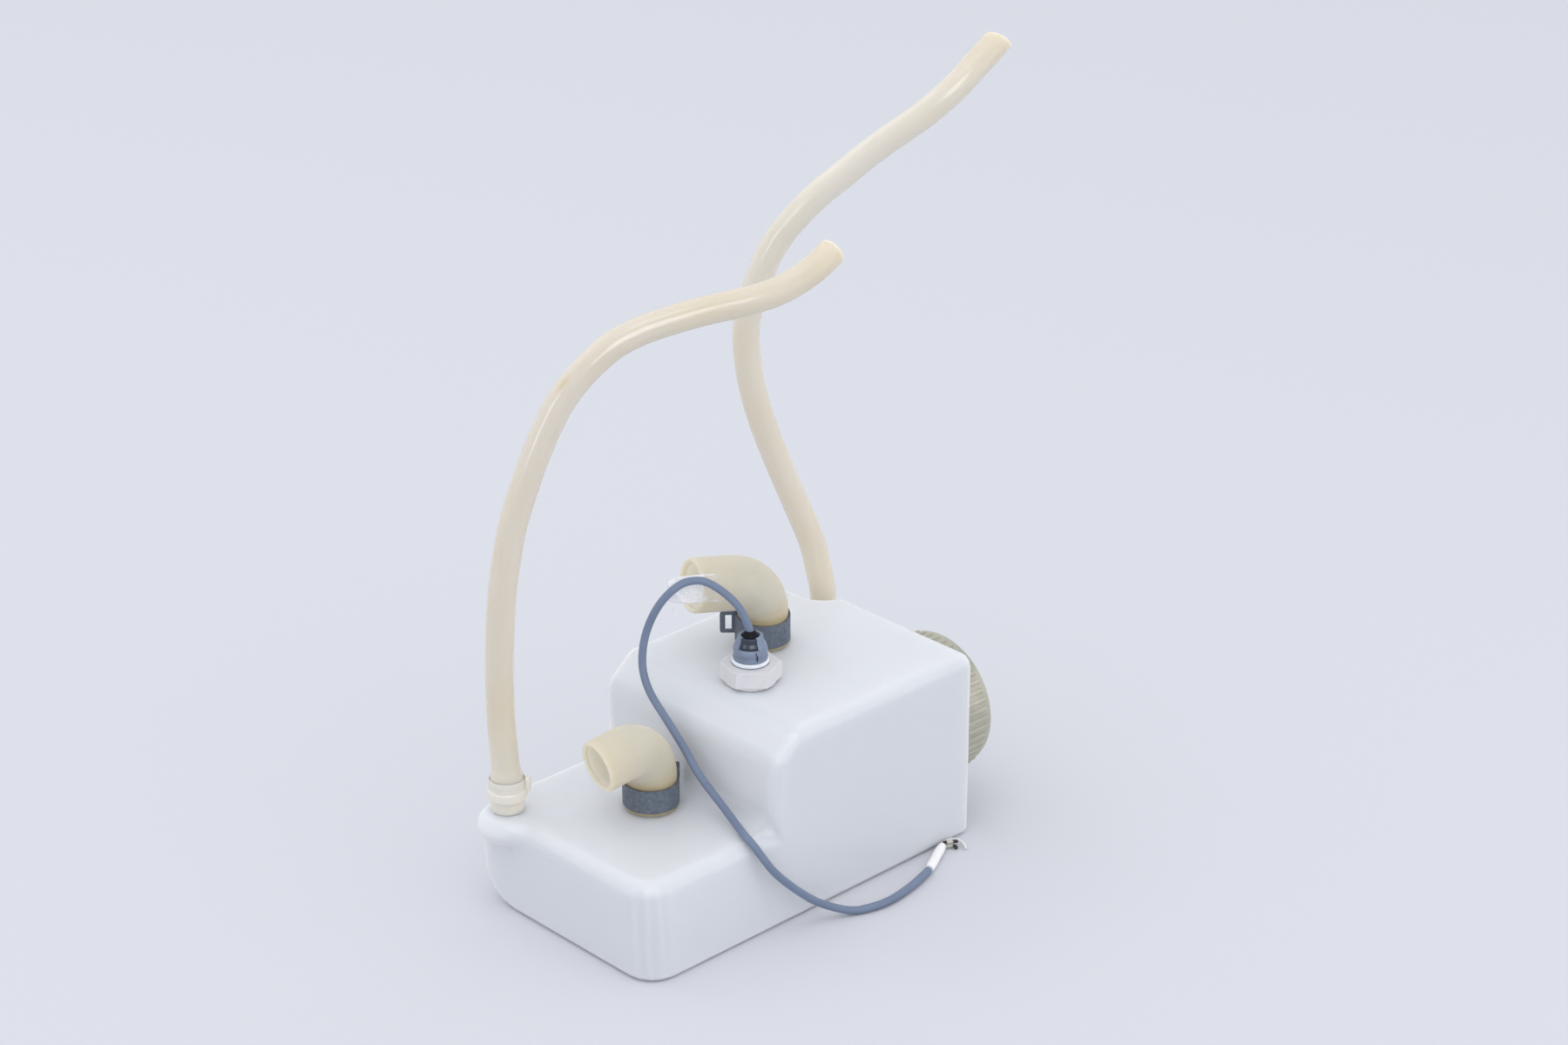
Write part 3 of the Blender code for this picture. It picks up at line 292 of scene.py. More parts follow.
    def _folds_and_highlights(self) -> None:
        """Make the folds, the long edges and the free end of a clear film show whiter than its flats; the folds and
        long edges are partly creased film and partly painted highlights.
        """
        flat = self.finish.alpha
        hazy = 3.8 * flat
        # Folds: partly creased film, partly painted highlights.
        fold = self.ranged(self.noise(1.0, 1.5, (*self.finish.crease, 1.0)), (0.55, 0.67), (0.0, 0.85))
        split = self.nodes.new("ShaderNodeSeparateXYZ")
        self.links.new(self.place, split.inputs["Vector"])
        across = self.sum_of("ABSOLUTE", self.sum_of("SUBTRACT", split.outputs["Y"], 0.5))
        patches = self.ranged(self.noise(3.0, 1.0, (1.0, 0.4, 1.0)), (0.40, 0.55), (0.0, 1.0))
        # Painted highlight along the long edges, in patches.
        rim = self.sum_of("MULTIPLY", self.ranged(across, (0.36, 0.48), (0.0, 0.9)), patches)
        haze = self.ranged(split.outputs["X"], (0.40, 0.54), (flat, hazy))
        whole = self.sum_of("MAXIMUM", self.sum_of("MAXIMUM", fold, rim), haze)
        held = self.ranged(split.outputs["X"], (0.09, 0.31), (0.15, 1.0))
        self.links.new(self.sum_of("MULTIPLY", whole, held), self.shader.inputs["Alpha"])


TANK_WHITE = Finish("tank_white", (0.900, 0.885, 0.883), (0.880, 0.863, 0.858), scale=9.0, amount=0.6,
                    rough=(0.30, 0.42), grain_scale=1500.0, grain_height=0.00002, wave_scale=22.0,
                    wave_height=0.0005, fleck=(0.42, 0.43, 0.46), fleck_scale=240.0, fleck_cut=0.83,
                    subsurface=0.9, subsurface_reach=0.014)
CAP_NATURAL = Finish("cap_natural", (0.50, 0.475, 0.395), (0.295, 0.31, 0.25), scale=34.0, amount=0.9,
                     rough=(0.32, 0.45), subsurface=0.3)
# Hose silicone: its pale colour is painted light in the bore, at the foot and along the rear hose's middle stretch;
# its darker mark colour is the real brown mark.
HOSE_SILICONE = Finish("aged_silicone", (0.680, 0.617, 0.537), (0.650, 0.573, 0.441), scale=16.0, amount=0.8,
                       rough=(0.12, 0.18), grain_height=0.000005, wave_scale=60.0, wave_height=0.0002,
                       stain_and_painted_light=(0.60, 0.50, 0.30), pale=(0.88, 0.86, 0.80), subsurface=1.0,
                       subsurface_reach=0.008, variant="_hose")
# Elbow silicone: its pale colour is painted light in the bore and on the lip's inner side; its darker mark colour
# serves real stains and the painted shade towards the mouth.
ELBOW_SILICONE = Finish("aged_silicone", (0.556, 0.525, 0.45), (0.50, 0.458, 0.36), scale=30.0, amount=0.8,
                        rough=(0.42, 0.55), wave_scale=80.0, wave_height=0.0002, stain_and_painted_light=(0.44, 0.34, 0.18),
                        pale=(0.88, 0.84, 0.74), subsurface=1.0, subsurface_reach=0.014, variant="_elbow")
NYLON = Finish("natural_nylon", (0.75, 0.72, 0.65), (0.70, 0.65, 0.56), scale=60.0, rough=(0.28, 0.4),
               subsurface=0.3, subsurface_reach=0.002)
STEEL = Finish("grey_steel", (0.138, 0.168, 0.214), (0.090, 0.108, 0.140), Pattern.GRAIN, scale=420.0, amount=0.9,
               rough=(0.45, 0.62), grain_scale=2400.0, grain_height=0.00004, metallic=0.35,
               fleck=(0.22, 0.245, 0.28), fleck_scale=500.0, fleck_cut=0.66)
IVORY = Finish("ivory_plastic", (0.63, 0.632, 0.672), (0.565, 0.556, 0.572), Pattern.GRAIN, scale=120.0,
               rough=(0.4, 0.55), grain_scale=1800.0, grain_height=0.00004, subsurface=0.15)
WHITE_THREAD = Finish("white_thread", (0.84, 0.87, 0.93), (0.78, 0.81, 0.87), scale=80.0, rough=(0.15, 0.3),
                      subsurface=0.15)
GLAND_GREY = Finish("gland_grey", (0.190, 0.238, 0.335), (0.130, 0.162, 0.230), Pattern.GRAIN, scale=220.0,
                    rough=(0.34, 0.5), grain_scale=1500.0, grain_height=0.00004)
RUBBER = Finish("black_rubber", (0.004, 0.004, 0.005), (0.010, 0.010, 0.013), Pattern.GRAIN, scale=300.0,
                rough=(0.28, 0.45), grain_scale=2000.0, grain_height=0.00005, gloss=0.15)
SEAL_NAVY = Finish("black_rubber", (0.018, 0.026, 0.048), (0.032, 0.043, 0.075), scale=160.0,
                   rough=(0.2, 0.35), grain_scale=1500.0, grain_height=0.00002, variant="_wet")
SHEATH = Finish("cable_slate", (0.174, 0.219, 0.319), (0.133, 0.169, 0.249), scale=50.0, amount=0.6,
                rough=(0.34, 0.46), grain_scale=2200.0, grain_height=0.00003, gloss=0.2)
SLEEVE_WHITE = Finish("marker_sleeve", (0.84, 0.84, 0.86), (0.76, 0.76, 0.78), scale=150.0, rough=(0.4, 0.55),
                      subsurface=0.2)
BROWN = Finish("core_brown", (0.56, 0.50, 0.45), (0.46, 0.40, 0.35), scale=300.0, rough=(0.35, 0.5),
               stain_and_painted_light=(0.030, 0.011, 0.007))
GREEN = Finish("core_green", (0.46, 0.50, 0.38), (0.36, 0.40, 0.28), scale=300.0, rough=(0.35, 0.5),
               stain_and_painted_light=(0.035, 0.030, 0.022))
WHITE_CORE = Finish("core_white", (0.76, 0.77, 0.78), (0.68, 0.69, 0.68), scale=300.0, rough=(0.35, 0.5))
# Clear film whose whiter folds and edges are partly painted highlights.
FILM = Finish("clear_film", (0.92, 0.93, 0.96), (0.84, 0.86, 0.90), scale=4.0, rough=(0.08, 0.2),
              grain_scale=9.0, grain_height=0.0006, alpha=0.16, crease=(2.8, 2.8))
FLOAT_PLASTIC = Finish("float_plastic", (0.70, 0.70, 0.67), (0.62, 0.62, 0.58), scale=60.0, rough=(0.4, 0.55))
FERRITE = Finish("magnet_ferrite", (0.05, 0.05, 0.055), (0.035, 0.035, 0.04), Pattern.GRAIN, scale=400.0,
                 rough=(0.5, 0.7))
GLASS = Finish("reed_glass", (0.72, 0.78, 0.76), (0.66, 0.72, 0.70), scale=200.0, rough=(0.05, 0.12))


def in_row(x: float, y: float, z: float) -> Vector:
    """Point of the tank's own frame, in the frame of the solids."""
    return ROW @ Vector((x, y, z))


def upright(place: Vector, heading: float = 0.0) -> Matrix:
    """Matrix of a piece that stands at a place and faces a heading in degrees."""
    return Matrix.Translation(place) @ Matrix.Rotation(radians(heading), 4, "Z")


def lying(place: Vector) -> Matrix:
    """Matrix that lays a turned piece along X."""
    return Matrix.Translation(place) @ Matrix.Rotation(pi / 2, 4, "Y")


def held(share: float) -> float:
    """Share kept between 0 and 1."""
    return min(max(share, 0.0), 1.0)


def eased(share: float) -> float:
    """Share kept between 0 and 1, with a slow start and a slow end."""
    return held(share) ** 2 * (3 - 2 * held(share))


def show(name: str, solid: bmesh.types.BMesh, finish: Finish, body: Body, *nodes: str,
         sharp: float = 38.0) -> bpy.types.Object:
    """Finished piece: a smooth mesh with its finish, riding on its body.

    Args:
        name: Name of the piece.
        solid: Its mesh, in the frame of the solids. It is freed here.
        finish: Its finish.
        body: Body that it moves with.
        nodes: CAD nodes that it stands for.
        sharp: Angle in degrees past which an edge stays crisp.

    Returns:
        The new object.
    """
    mesh = bpy.data.meshes.new(name)
    solid.to_mesh(mesh)
    solid.free()
    mesh.shade_smooth()
    mesh.set_sharp_from_angle(angle=radians(sharp))
    mesh.materials.append(finish.material())
    piece = bpy.data.objects.new(name, mesh)
    bpy.context.scene.collection.objects.link(piece)
    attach(piece, body.value)
    if nodes:
        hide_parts(*nodes)
    LOG.info("%s: %d faces in %s", name, len(mesh.polygons), finish.slot)
    return piece


def dress(node: str, finish: Finish) -> None:
    """Give a CAD node that stays as it is a better finish.

    Args:
        node: Name of the node.
        finish: Its finish.
    """
    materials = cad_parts[node].data.materials
    materials.clear()
    materials.append(finish.material())
    LOG.info("%s: solid kept, in %s", node, finish.slot)


def soften(piece: bpy.types.Object, width: float, crisp: float = 35.0) -> None:
    """Round a piece's crisp edges.

    Args:
        piece: Piece to change.
        width: Width of the rounding.
        crisp: Angle in degrees past which an edge is rounded.
    """
    bevel = piece.modifiers.new("edges", "BEVEL")
    bevel.width = width
    bevel.segments = 2
    bevel.limit_method = "ANGLE"
    bevel.angle_limit = radians(crisp)
    bevel.harden_normals = True


def rounded(corners: Sequence[tuple[float, float, float]], steps: int = 5) -> list[tuple[float, float]]:
    """Outline through (radius, height, rounding) corners, each rounding drawn as a short arc.

    Args:
        corners: Corners in order, with the radius of the arc at each.
        steps: Facets of each arc.

    Returns:
        The outline's points.
    """
    outline = []
    for index, (x, y, radius) in enumerate(corners):
        corner = Vector((x, y))
        if radius == 0:
            outline.append((x, y))
            continue
        before = (Vector(corners[index - 1][:2]) - corner).normalized()
        after = (Vector(corners[(index + 1) % len(corners)][:2]) - corner).normalized()
        half = before.angle(after) / 2
        centre = corner + (before + after).normalized() * radius / sin(half)
        start = corner + before * radius / tan(half) - centre
        end = corner + after * radius / tan(half) - centre
        for step in range(steps + 1):
            point = centre + start.lerp(end, step / steps).normalized() * radius
            outline.append((point.x, point.y))
    return outline


def turned(profile: Profile, matrix: Matrix, steps: int = 72, angle: float = 2 * pi,
           lead: float = 0.0) -> bmesh.types.BMesh:
    """Closed profile spun about Z, fully or part of the way, and then put in place.

    Args:
        profile: Closed (radius, height) outline.
        matrix: Where the piece goes.
        steps: Facets of the spin.
        angle: Angle of the spin.
        lead: Climb over the whole spin, which makes a helix.

    Returns:
        The spun mesh, closed at both ends of a part spin.
    """
    solid = bmesh.new()
    points = [solid.verts.new((radius, 0.0, height)) for radius, height in profile]
    edges = [solid.edges.new(pair) for pair in zip(points, points[1:] + points[:1])
             if max(pair[0].co.x, pair[1].co.x) > MERGE]
    full = angle >= 2 * pi and lead == 0.0
    bmesh.ops.spin(solid, geom=points + edges, cent=(0, 0, 0), axis=(0, 0, 1), dvec=(0, 0, lead / steps),
                   angle=angle, steps=steps, use_merge=full, use_duplicate=False)
    bmesh.ops.remove_doubles(solid, verts=solid.verts, dist=MERGE)
    if not full:
        bmesh.ops.holes_fill(solid, edges=[edge for edge in solid.edges if edge.is_boundary], sides=0)
    bmesh.ops.recalc_face_normals(solid, faces=solid.faces)
    bmesh.ops.transform(solid, matrix=matrix, verts=solid.verts)
    return solid


def ridge(root: float, crest: float, start: float, form: tuple[float, float, float], place: Vector,
          turns: float) -> bmesh.types.BMesh:
    """Screw thread's ridge, as a helix about X.

    Args:
        root: Radius at its foot.
        crest: Radius at its top.
        start: Distance of its first edge from the place.
        form: Distances from that edge to the crest's start, the crest's end and the far edge.
        place: Start of the axis.
        turns: Length in turns.

    Returns:
        The ridge's mesh.
    """
    rise, fall, end = form
    profile = [(root, start), (crest, start + rise), (crest, start + fall), (root, start + end)]
    return turned(profile, lying(place), round(THREAD_FACETS * turns), 2 * pi * turns, THREAD_PITCH * turns)


def joined(*solids: bmesh.types.BMesh) -> bmesh.types.BMesh:
    """Several closed shells in one mesh.

    Args:
        solids: The shells. All are freed.

    Returns:
        The mesh that holds them.
    """
    whole = bmesh.new()
    for solid in solids:
        copy = bpy.data.meshes.new("shell")
        solid.to_mesh(copy)
        solid.free()
        whole.from_mesh(copy)
        bpy.data.meshes.remove(copy)
    return whole


def plate(low: Sequence[float], high: Sequence[float], matrix: Matrix, rounding: float,
          segments: int = 2) -> bmesh.types.BMesh:
    """Block between two corners with rounded edges.

    Args:
        low: Lowest corner.
        high: Highest corner.
        matrix: Where the block goes.
        rounding: Radius of its edges.
        segments: Facets of each edge.

    Returns:
        The block.
    """
    solid = bmesh.new()
    bmesh.ops.create_cube(solid, size=1.0)
    size = Vector(high) - Vector(low)
    bmesh.ops.scale(solid, vec=size, verts=solid.verts)
    bmesh.ops.translate(solid, vec=Vector(low) + size / 2, verts=solid.verts)
    bmesh.ops.bevel(solid, geom=solid.edges[:], offset=rounding, segments=segments, profile=0.5, affect="EDGES",
                    material=-1)
    bmesh.ops.transform(solid, matrix=matrix, verts=solid.verts)
    return solid


def blend(solid: bmesh.types.BMesh, centre: Vector, half: float, keep: float, step: float = 0.0022,
          reach: float = 0.0075, crease: float = 14.0, cuts: int = 6, passes: int = 5) -> None:
    """Blend the hollow creases round one place, as a moulding blends them.

    Args:
        solid: Mesh to change.
        centre: Middle of the box that is worked on.
        half: Half of the box's side.
        keep: Distance from the box's upright axis inside which nothing moves.
        step: Longest edge left in the box.
        reach: How far from a crease the surface gives way.
        crease: Angle in degrees past which a hollow edge is a crease.
        cuts: Rounds of cutting that bring the edges down to the step.
        passes: Rounds of smoothing at each distance.
    """
    for axis in range(3):
        for side in (-1, 1):
            away = Vector([side if index == axis else 0 for index in range(3)])
            bmesh.ops.bisect_plane(solid, geom=solid.verts[:] + solid.edges[:] + solid.faces[:], dist=10 * MERGE,
                                   plane_co=centre + away * half, plane_no=away)

    def patch() -> list[bmesh.types.BMFace]:
        """Faces inside the box."""
        return [face for face in solid.faces
                if max(abs(gap) for gap in face.calc_center_median() - centre) < half]

    bmesh.ops.triangulate(solid, faces=patch())
    for _ in range(cuts):
        edges = dict.fromkeys(edge for face in patch() for edge in face.edges if edge.calc_length() > step)
        bmesh.ops.subdivide_edges(solid, edges=list(edges), cuts=1)
        bmesh.ops.triangulate(solid, faces=patch())
    edges = dict.fromkeys(edge for face in patch() for edge in face.edges if edge.is_manifold)
    creases = [vert.co.copy() for edge in edges if edge.calc_face_angle_signed() < -radians(crease)
               for vert in edge.verts if (vert.co - centre).xy.length > keep]
    tree = KDTree(len(creases))
    for index, point in enumerate(creases):
        tree.insert(point, index)
    tree.balance()
    loose = []
    for vert in dict.fromkeys(vert for face in patch() for vert in face.verts):
        offset = vert.co - centre
        if offset.xy.length > keep and max(abs(gap) for gap in offset) < half - step:
            loose.append((tree.find(vert.co)[2], vert))
    for share in (1.0, 0.85, 0.7, 0.55, 0.4):
        near = [vert for gap, vert in loose if gap < reach * share]
        for _ in range(passes):
            bmesh.ops.smooth_vert(solid, verts=near, factor=0.5, use_axis_x=True, use_axis_y=True, use_axis_z=True)


@dataclass(frozen=True)
class Station:
    """One ring of a swept tube: where it stands, how wide it is, and its mark: stains above zero, painted light below
    zero.
    """

    pose: Matrix
    radius: float
    stain_and_painted_light: float = 0.0

    @property
    def matrix(self) -> Matrix:
        """Pose with the ring's radius as its scale."""
        return self.pose @ Matrix.Diagonal((self.radius, self.radius, 1.0, 1.0))


def carried(line: Sequence[Vector]) -> list[Matrix]:
    """Poses along a line, each turned from the one before by the least that keeps it square to the line.

    Args:
        line: Points of the line.

    Returns:
        One matrix for each point, with Z along the line.
    """
    poses = []
    turn = None
    for index, point in enumerate(line):
        ahead = (line[min(index + 1, len(line) - 1)] - line[max(index - 1, 0)]).normalized()
        if turn is None:
            turn = ahead.to_track_quat("Z", "Y")
        else:
            turn = (turn @ Vector((0, 0, 1))).rotation_difference(ahead) @ turn
        poses.append(Matrix.Translation(point) @ turn.to_matrix().to_4x4())
    return poses


def swept(stations: Sequence[Station], sides: int, closed: bool, seam: float = 0.0) -> bmesh.types.BMesh:
    """Tube made by pulling one ring from station to station.

    Args:
        stations: Rings in order.
        sides: Vertices of a ring.
        closed: Whether the last ring is bridged to the first, as on a tube with a bore. Otherwise the ends
            are filled.
        seam: Height of a moulding line on two sides, as a share of the radius.

    Returns:
        The closed tube.
    """
    solid = bmesh.new()
    # Each vertex's mark: stains above zero, painted light below.
    stain_and_painted_light = solid.verts.layers.float.new("stain_and_painted_light")
    ring = bmesh.ops.create_circle(solid, cap_ends=False, segments=sides, radius=1.0)["verts"]
    for index in (0, sides // 2):
        ring[index].co *= 1.0 + seam
    bmesh.ops.transform(solid, matrix=stations[0].matrix, verts=ring)
    first = edges = solid.edges[:]
    for vert in ring:
        vert[stain_and_painted_light] = stations[0].stain_and_painted_light
    for before, after in zip(stations, stations[1:]):
        grown = bmesh.ops.extrude_edge_only(solid, edges=edges)["geom"]
        ring = [item for item in grown if isinstance(item, bmesh.types.BMVert)]
        members = set(ring)
        edges = [item for item in grown if isinstance(item, bmesh.types.BMEdge) and members.issuperset(item.verts)]
        bmesh.ops.transform(solid, matrix=after.matrix @ before.matrix.inverted(), verts=ring)
        for vert in ring:
            vert[stain_and_painted_light] = after.stain_and_painted_light
    if closed:
        bmesh.ops.bridge_loops(solid, edges=[*first, *edges])
    else:
        bmesh.ops.holes_fill(solid, edges=[*first, *edges], sides=0)
    bmesh.ops.recalc_face_normals(solid, faces=solid.faces)
    return solid


def smooth_route(points: Iterable[Vector], steps: int = 24) -> list[Vector]:
    """Closely spaced points on a smooth curve through a route's own points.

    Args:
        points: The route.
        steps: Points between two of the route's own.

    Returns:
        The close points.
    """
    knots = list(points)
    fine = []
    for index in range(len(knots) - 1):
        before = knots[max(index - 1, 0)]
        start = knots[index]
        end = knots[index + 1]
        after = knots[min(index + 2, len(knots) - 1)]
        fine += interpolate_bezier(start, start + (end - before) / 6, end - (after - start) / 6, end, steps)[:-1]
    fine.append(knots[-1])
    return fine


def measured(fine: Sequence[Vector]) -> float:
    """Length of a line of close points."""
    return sum((second - first).length for first, second in zip(fine, fine[1:]))


def spaced(fine: Sequence[Vector], step: float) -> list[Vector]:
    """Points an even distance apart on a line of close points.

    Args:
        fine: The line.
        step: Rough distance between two points.

    Returns:
        The even points, with both ends.
    """
    total = measured(fine)
    count = max(round(total / step), 2)
    points = [fine[0]]
    walked = 0.0
    for first, second in zip(fine, fine[1:]):
        reach = (second - first).length
        while len(points) < count and walked + reach >= total * len(points) / count:
            points.append(first.lerp(second, (total * len(points) / count - walked) / reach))
        walked += reach
    points.append(fine[-1])
    return points


@dataclass
class TankShell:
    """The blow-moulded tank, with the thread on its filler neck."""

    bosses: tuple[Vector, Vector] = field(
        default_factory=lambda: (in_row(0.0055, 0.125, 0.050), in_row(0.2535, 0.125, 0.069)))
    boss_room: float = 0.033
    hose_room: float = 0.0105
    neck: Vector = field(default_factory=lambda: in_row(0.2535, 0.0525, 0.0602))
    neck_radius: float = 0.0377
    thread_height: float = 0.0009
    thread_form: tuple[float, float, float] = (0.0008, 0.0014, 0.0024)
    thread_turns: float = 2.0
    thread_start: float = 0.0085
    facet_angle: float = 0.4
    sliver_angle: float = 0.05
    flats_weight: int = 80

    def build(self) -> None:
        """Smooth the solid's own surface, blend the hose bosses into it and add the neck's thread."""
        solid = bmesh.new()
        solid.from_mesh(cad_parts["tank_body"].data)
        bmesh.ops.remove_doubles(solid, verts=solid.verts, dist=MERGE)
        bmesh.ops.dissolve_limit(solid, angle_limit=radians(self.facet_angle), verts=solid.verts, edges=solid.edges)
        for boss in self.bosses:
            blend(solid, boss, self.boss_room, self.hose_room)
        bmesh.ops.dissolve_limit(solid, angle_limit=radians(self.sliver_angle), verts=solid.verts, edges=solid.edges)
        shell = show("tank_shell", solid, TANK_WHITE, Body.TANK, "tank_body", sharp=44.0)
        weighted = shell.modifiers.new("flats", "WEIGHTED_NORMAL")
        weighted.keep_sharp = True
        weighted.weight = self.flats_weight
        thread = ridge(self.neck_radius - CLEAR, self.neck_radius + self.thread_height, self.thread_start,
                       self.thread_form, self.neck, self.thread_turns)
        show("neck_thread", thread, TANK_WHITE, Body.TANK)


@dataclass
class FillerCap:
    """The ribbed screw cap, its inner thread and its gasket."""

    place: Vector = field(default_factory=lambda: in_row(0.2535, 0.0525, 0.0602))
    reach: float = 0.029
    skirt: float = 0.022
    bore: float = 0.0392
    wall: float = 0.0028
    top: float = 0.003
    dish: float = 0.001
    dish_radius: float = 0.030
    crown: float = 0.003
    ribs: int = 48
    rib_depth: float = 0.0013
    rib_slope: float = 0.0005
    rib_length: float = 0.017
    edge: float = 0.0003
    dish_edge: float = 0.0004
    disc_share: float = 0.86
    disc_slope: float = 0.001
    disc_depth: float = 0.0004
    thread_start: float = 0.0042
    thread_height: float = 0.0005
    thread_form: tuple[float, float, float] = (0.0007, 0.0012, 0.0019)
    thread_turns: float = 1.6

    def build(self) -> None:
        """Spin the cup, raise its ribs and add the inner thread."""
        cap = show("cap_shell", self.cup(), CAP_NATURAL, Body.CAP, "filler_cap", sharp=30.0)
        soften(cap, self.edge)
        thread = ridge(self.bore + CLEAR, self.bore - self.thread_height, self.reach - self.skirt + self.thread_start,
                       self.thread_form, self.place, self.thread_turns)
        show("cap_thread", thread, CAP_NATURAL, Body.CAP)
        dress("cap_gasket", RUBBER)

    def cup(self) -> bmesh.types.BMesh:
        """Cup with every second facet of its skirt raised as a rib.

        Returns:
            The cup's mesh.
        """
        rim = self.reach - self.skirt
        ceiling = self.reach - self.top
        outer = self.bore + self.wall
        disc = self.dish_radius * self.disc_share
        floor = self.reach - self.dish
        profile = rounded([
            (0, ceiling, 0), (self.bore, ceiling, 0), (self.bore, rim, 0), (outer, rim, 0),
            (outer, rim + self.rib_length, 0), (outer, self.reach, self.crown),
            (self.dish_radius + self.dish, self.reach, self.dish_edge), (self.dish_radius, floor, self.dish_edge),
            (disc + self.disc_slope, floor, 0), (disc, floor - self.disc_depth, 0), (0, floor - self.disc_depth, 0),
        ])
        solid = turned(profile, Matrix.Identity(4), 2 * self.ribs)
        raised = []
        for face in solid.faces:
            middle = face.calc_center_median()
            along = rim < middle.z < rim + self.rib_length
            if along and middle.xy.length > outer - self.wall / 2 and abs(face.normal.z) < 0.1:
                raised.append((middle.xy.angle_signed(Vector((1, 0))), face))
        raised.sort(key=lambda item: item[0])
        bmesh.ops.inset_individual(solid, faces=[face for _, face in raised[::2]], thickness=self.rib_slope,
                                   depth=self.rib_depth, use_even_offset=True)
        bmesh.ops.transform(solid, matrix=lying(self.place), verts=solid.verts)
        return solid


@dataclass
class ClampedElbow:
    """One moulded silicone elbow on its spigot, held by a spring band with a windowed ear."""

    tag: str
    place: Vector
    heading: float
    riser: float
    leg: float
    swell: float
    band_height: float
    ear_heading: float
    ear_height: float
    bore: float = 0.0119
    wall: float = 0.003
    bend: float = 0.022
    band_start: float = 0.0028
    band_steel: float = 0.001
    band_split: float = 0.0012
    band_edge: float = 0.00018
    band_facets: int = 96
    ear_reach: float = 0.0086
    ear_steel: float = 0.0013
    ear_frame: float = 0.00225
    ear_bar: float = 0.0009
    ear_stand: float = 0.0037
    ear_rounding: float = 0.0016
    turn: float = 90.0
    band_fall: float = 0.0
    band_fall_heading: float = -110.0
    lip: float = 0.0024
    mouth_lean: Vector = field(default_factory=Vector)
    swell_start: float = 1 / 6
    seam: float = 0.009
    riser_stains: tuple[float, float, float] = (0.9, 0.85, 0.7)
    bend_stain: float = 0.55
    bend_fading: float = 1.6
    leg_stain: float = 0.05
    # Painted shade that darkens the leg towards its brightly lit lip.
    mouth_painted_shade: float = 0.12
    # Painted light on the lip's inner side and down the bore, where shade falls inside the mouth.
    rim_painted_light: float = 0.4
    bore_painted_light: float = 0.8
    lip_steps: int = 10
    bend_steps: int = 18
    leg_steps: int = 6
    sides: int = 48

    def build(self) -> None:
        """Build the elbow and its clamp."""
        show(f"elbow_{self.tag}_tube", self.tube(), ELBOW_SILICONE, Body.TANK, f"elbow_{self.tag}", sharp=50.0)
        band = show(f"clamp_{self.tag}_band", joined(self.band(), self.ear()), STEEL, Body.TANK,
                    f"clamp_{self.tag}", sharp=32.0)
        soften(band, self.band_edge)

    def line(self) -> list[tuple[Vector, float, float]]:
        """Centre line of the elbow, from its foot to its mouth.

        Returns:
            Points with the swell and the mark at each: stains low down, painted shade towards the mouth.
        """
        top = self.band_start + self.band_height
        foot, middle, high = self.riser_stains
        marked = [(CLEAR, foot), (self.band_start, foot), (top, middle),
                  (max(top + 0.0004, self.riser - 0.0002), high)]
        points = [(Vector((0, 0, height)), 0.0, stain_and_painted_light) for height, stain_and_painted_light in marked]
        for step in range(1, self.bend_steps + 1):
            share = step / self.bend_steps
            angle = radians(self.turn) * share
            swell = self.swell * held((share - self.swell_start) / (1 - self.swell_start))
            point = Vector((self.bend * (1 - cos(angle)), 0, self.riser + self.bend * sin(angle)))
            points.append((point, swell, max(self.bend_stain - self.bend_fading * share, self.leg_stain)))
        start = points[-1][0]
        along = Vector((sin(angle), 0, cos(angle)))
        for step in range(1, self.leg_steps + 1):
            share = step / self.leg_steps
            # Painted shade: the leg darkens towards the mouth, so that its lit lip shows duller.
            stain_and_painted_light = self.leg_stain + self.mouth_painted_shade * share ** 3
            points.append((start + along * self.leg * share, self.swell, stain_and_painted_light))
        return points

    def leaned(self, poses: list[Matrix]) -> list[Matrix]:
        """Poses sheared along the leg, so that the mouth is cut at a slant.

        Args:
            poses: Poses of the centre line in the elbow's own frame.

        Returns:
            The poses, with each of the leg's leaning more than the one before.
        """
        first = len(poses) - self.leg_steps
        result = poses[:first]
        for step, pose in enumerate(poses[first:], start=1):
            slope = pose.to_3x3().transposed() @ self.mouth_lean * (step / self.leg_steps)
            shear = Matrix.Identity(4)
            shear[2][0], shear[2][1] = slope.x, slope.y
            result.append(pose @ shear)
        return result

    def mouth(self) -> Matrix:
        """Frame of the leg's open end, with X out along the leg."""
        end = Matrix.Translation(self.line()[-1][0])
        return upright(self.place, self.heading) @ end @ Matrix.Rotation(radians(self.turn - 90.0), 4, "Y")

    def tube(self) -> bmesh.types.BMesh:
        """Elbow with its bore, a soft lip at the mouth and a faint moulding line.

        Returns:
            The elbow's mesh.
        """
        line = self.line()
        stand = upright(self.place, self.heading)
        poses = [stand @ pose for pose in self.leaned(carried([point for point, _, _ in line]))]
        outer = self.bore + self.wall
        stations = [Station(pose, outer + swell, stain_and_painted_light) for pose, (_, swell, stain_and_painted_light) in zip(poses, line)]
        mouth = stations.pop()
        # Painted light: the bore is tinted pale all through.
        inside = [Station(pose, self.bore + swell, -self.bore_painted_light) for pose, (_, swell, _) in zip(poses, line)]
        rim = inside.pop()
        for step in range(self.lip_steps + 1):
            angle = pi * step / self.lip_steps
            round_over = mouth.pose @ Matrix.Translation((0, 0, self.lip * (sin(angle) - 1)))
            share = (1 + cos(angle)) / 2
            # Lip mark: painted shade from the mouth on the outer side, painted light on the inner side.
            stations.append(Station(round_over, rim.radius + (mouth.radius - rim.radius) * share,
                                    mouth.stain_and_painted_light - self.rim_painted_light * (1 - share) ** 2))
        stations += inside[::-1]
        return swept(stations, self.sides, closed=True, seam=self.seam)

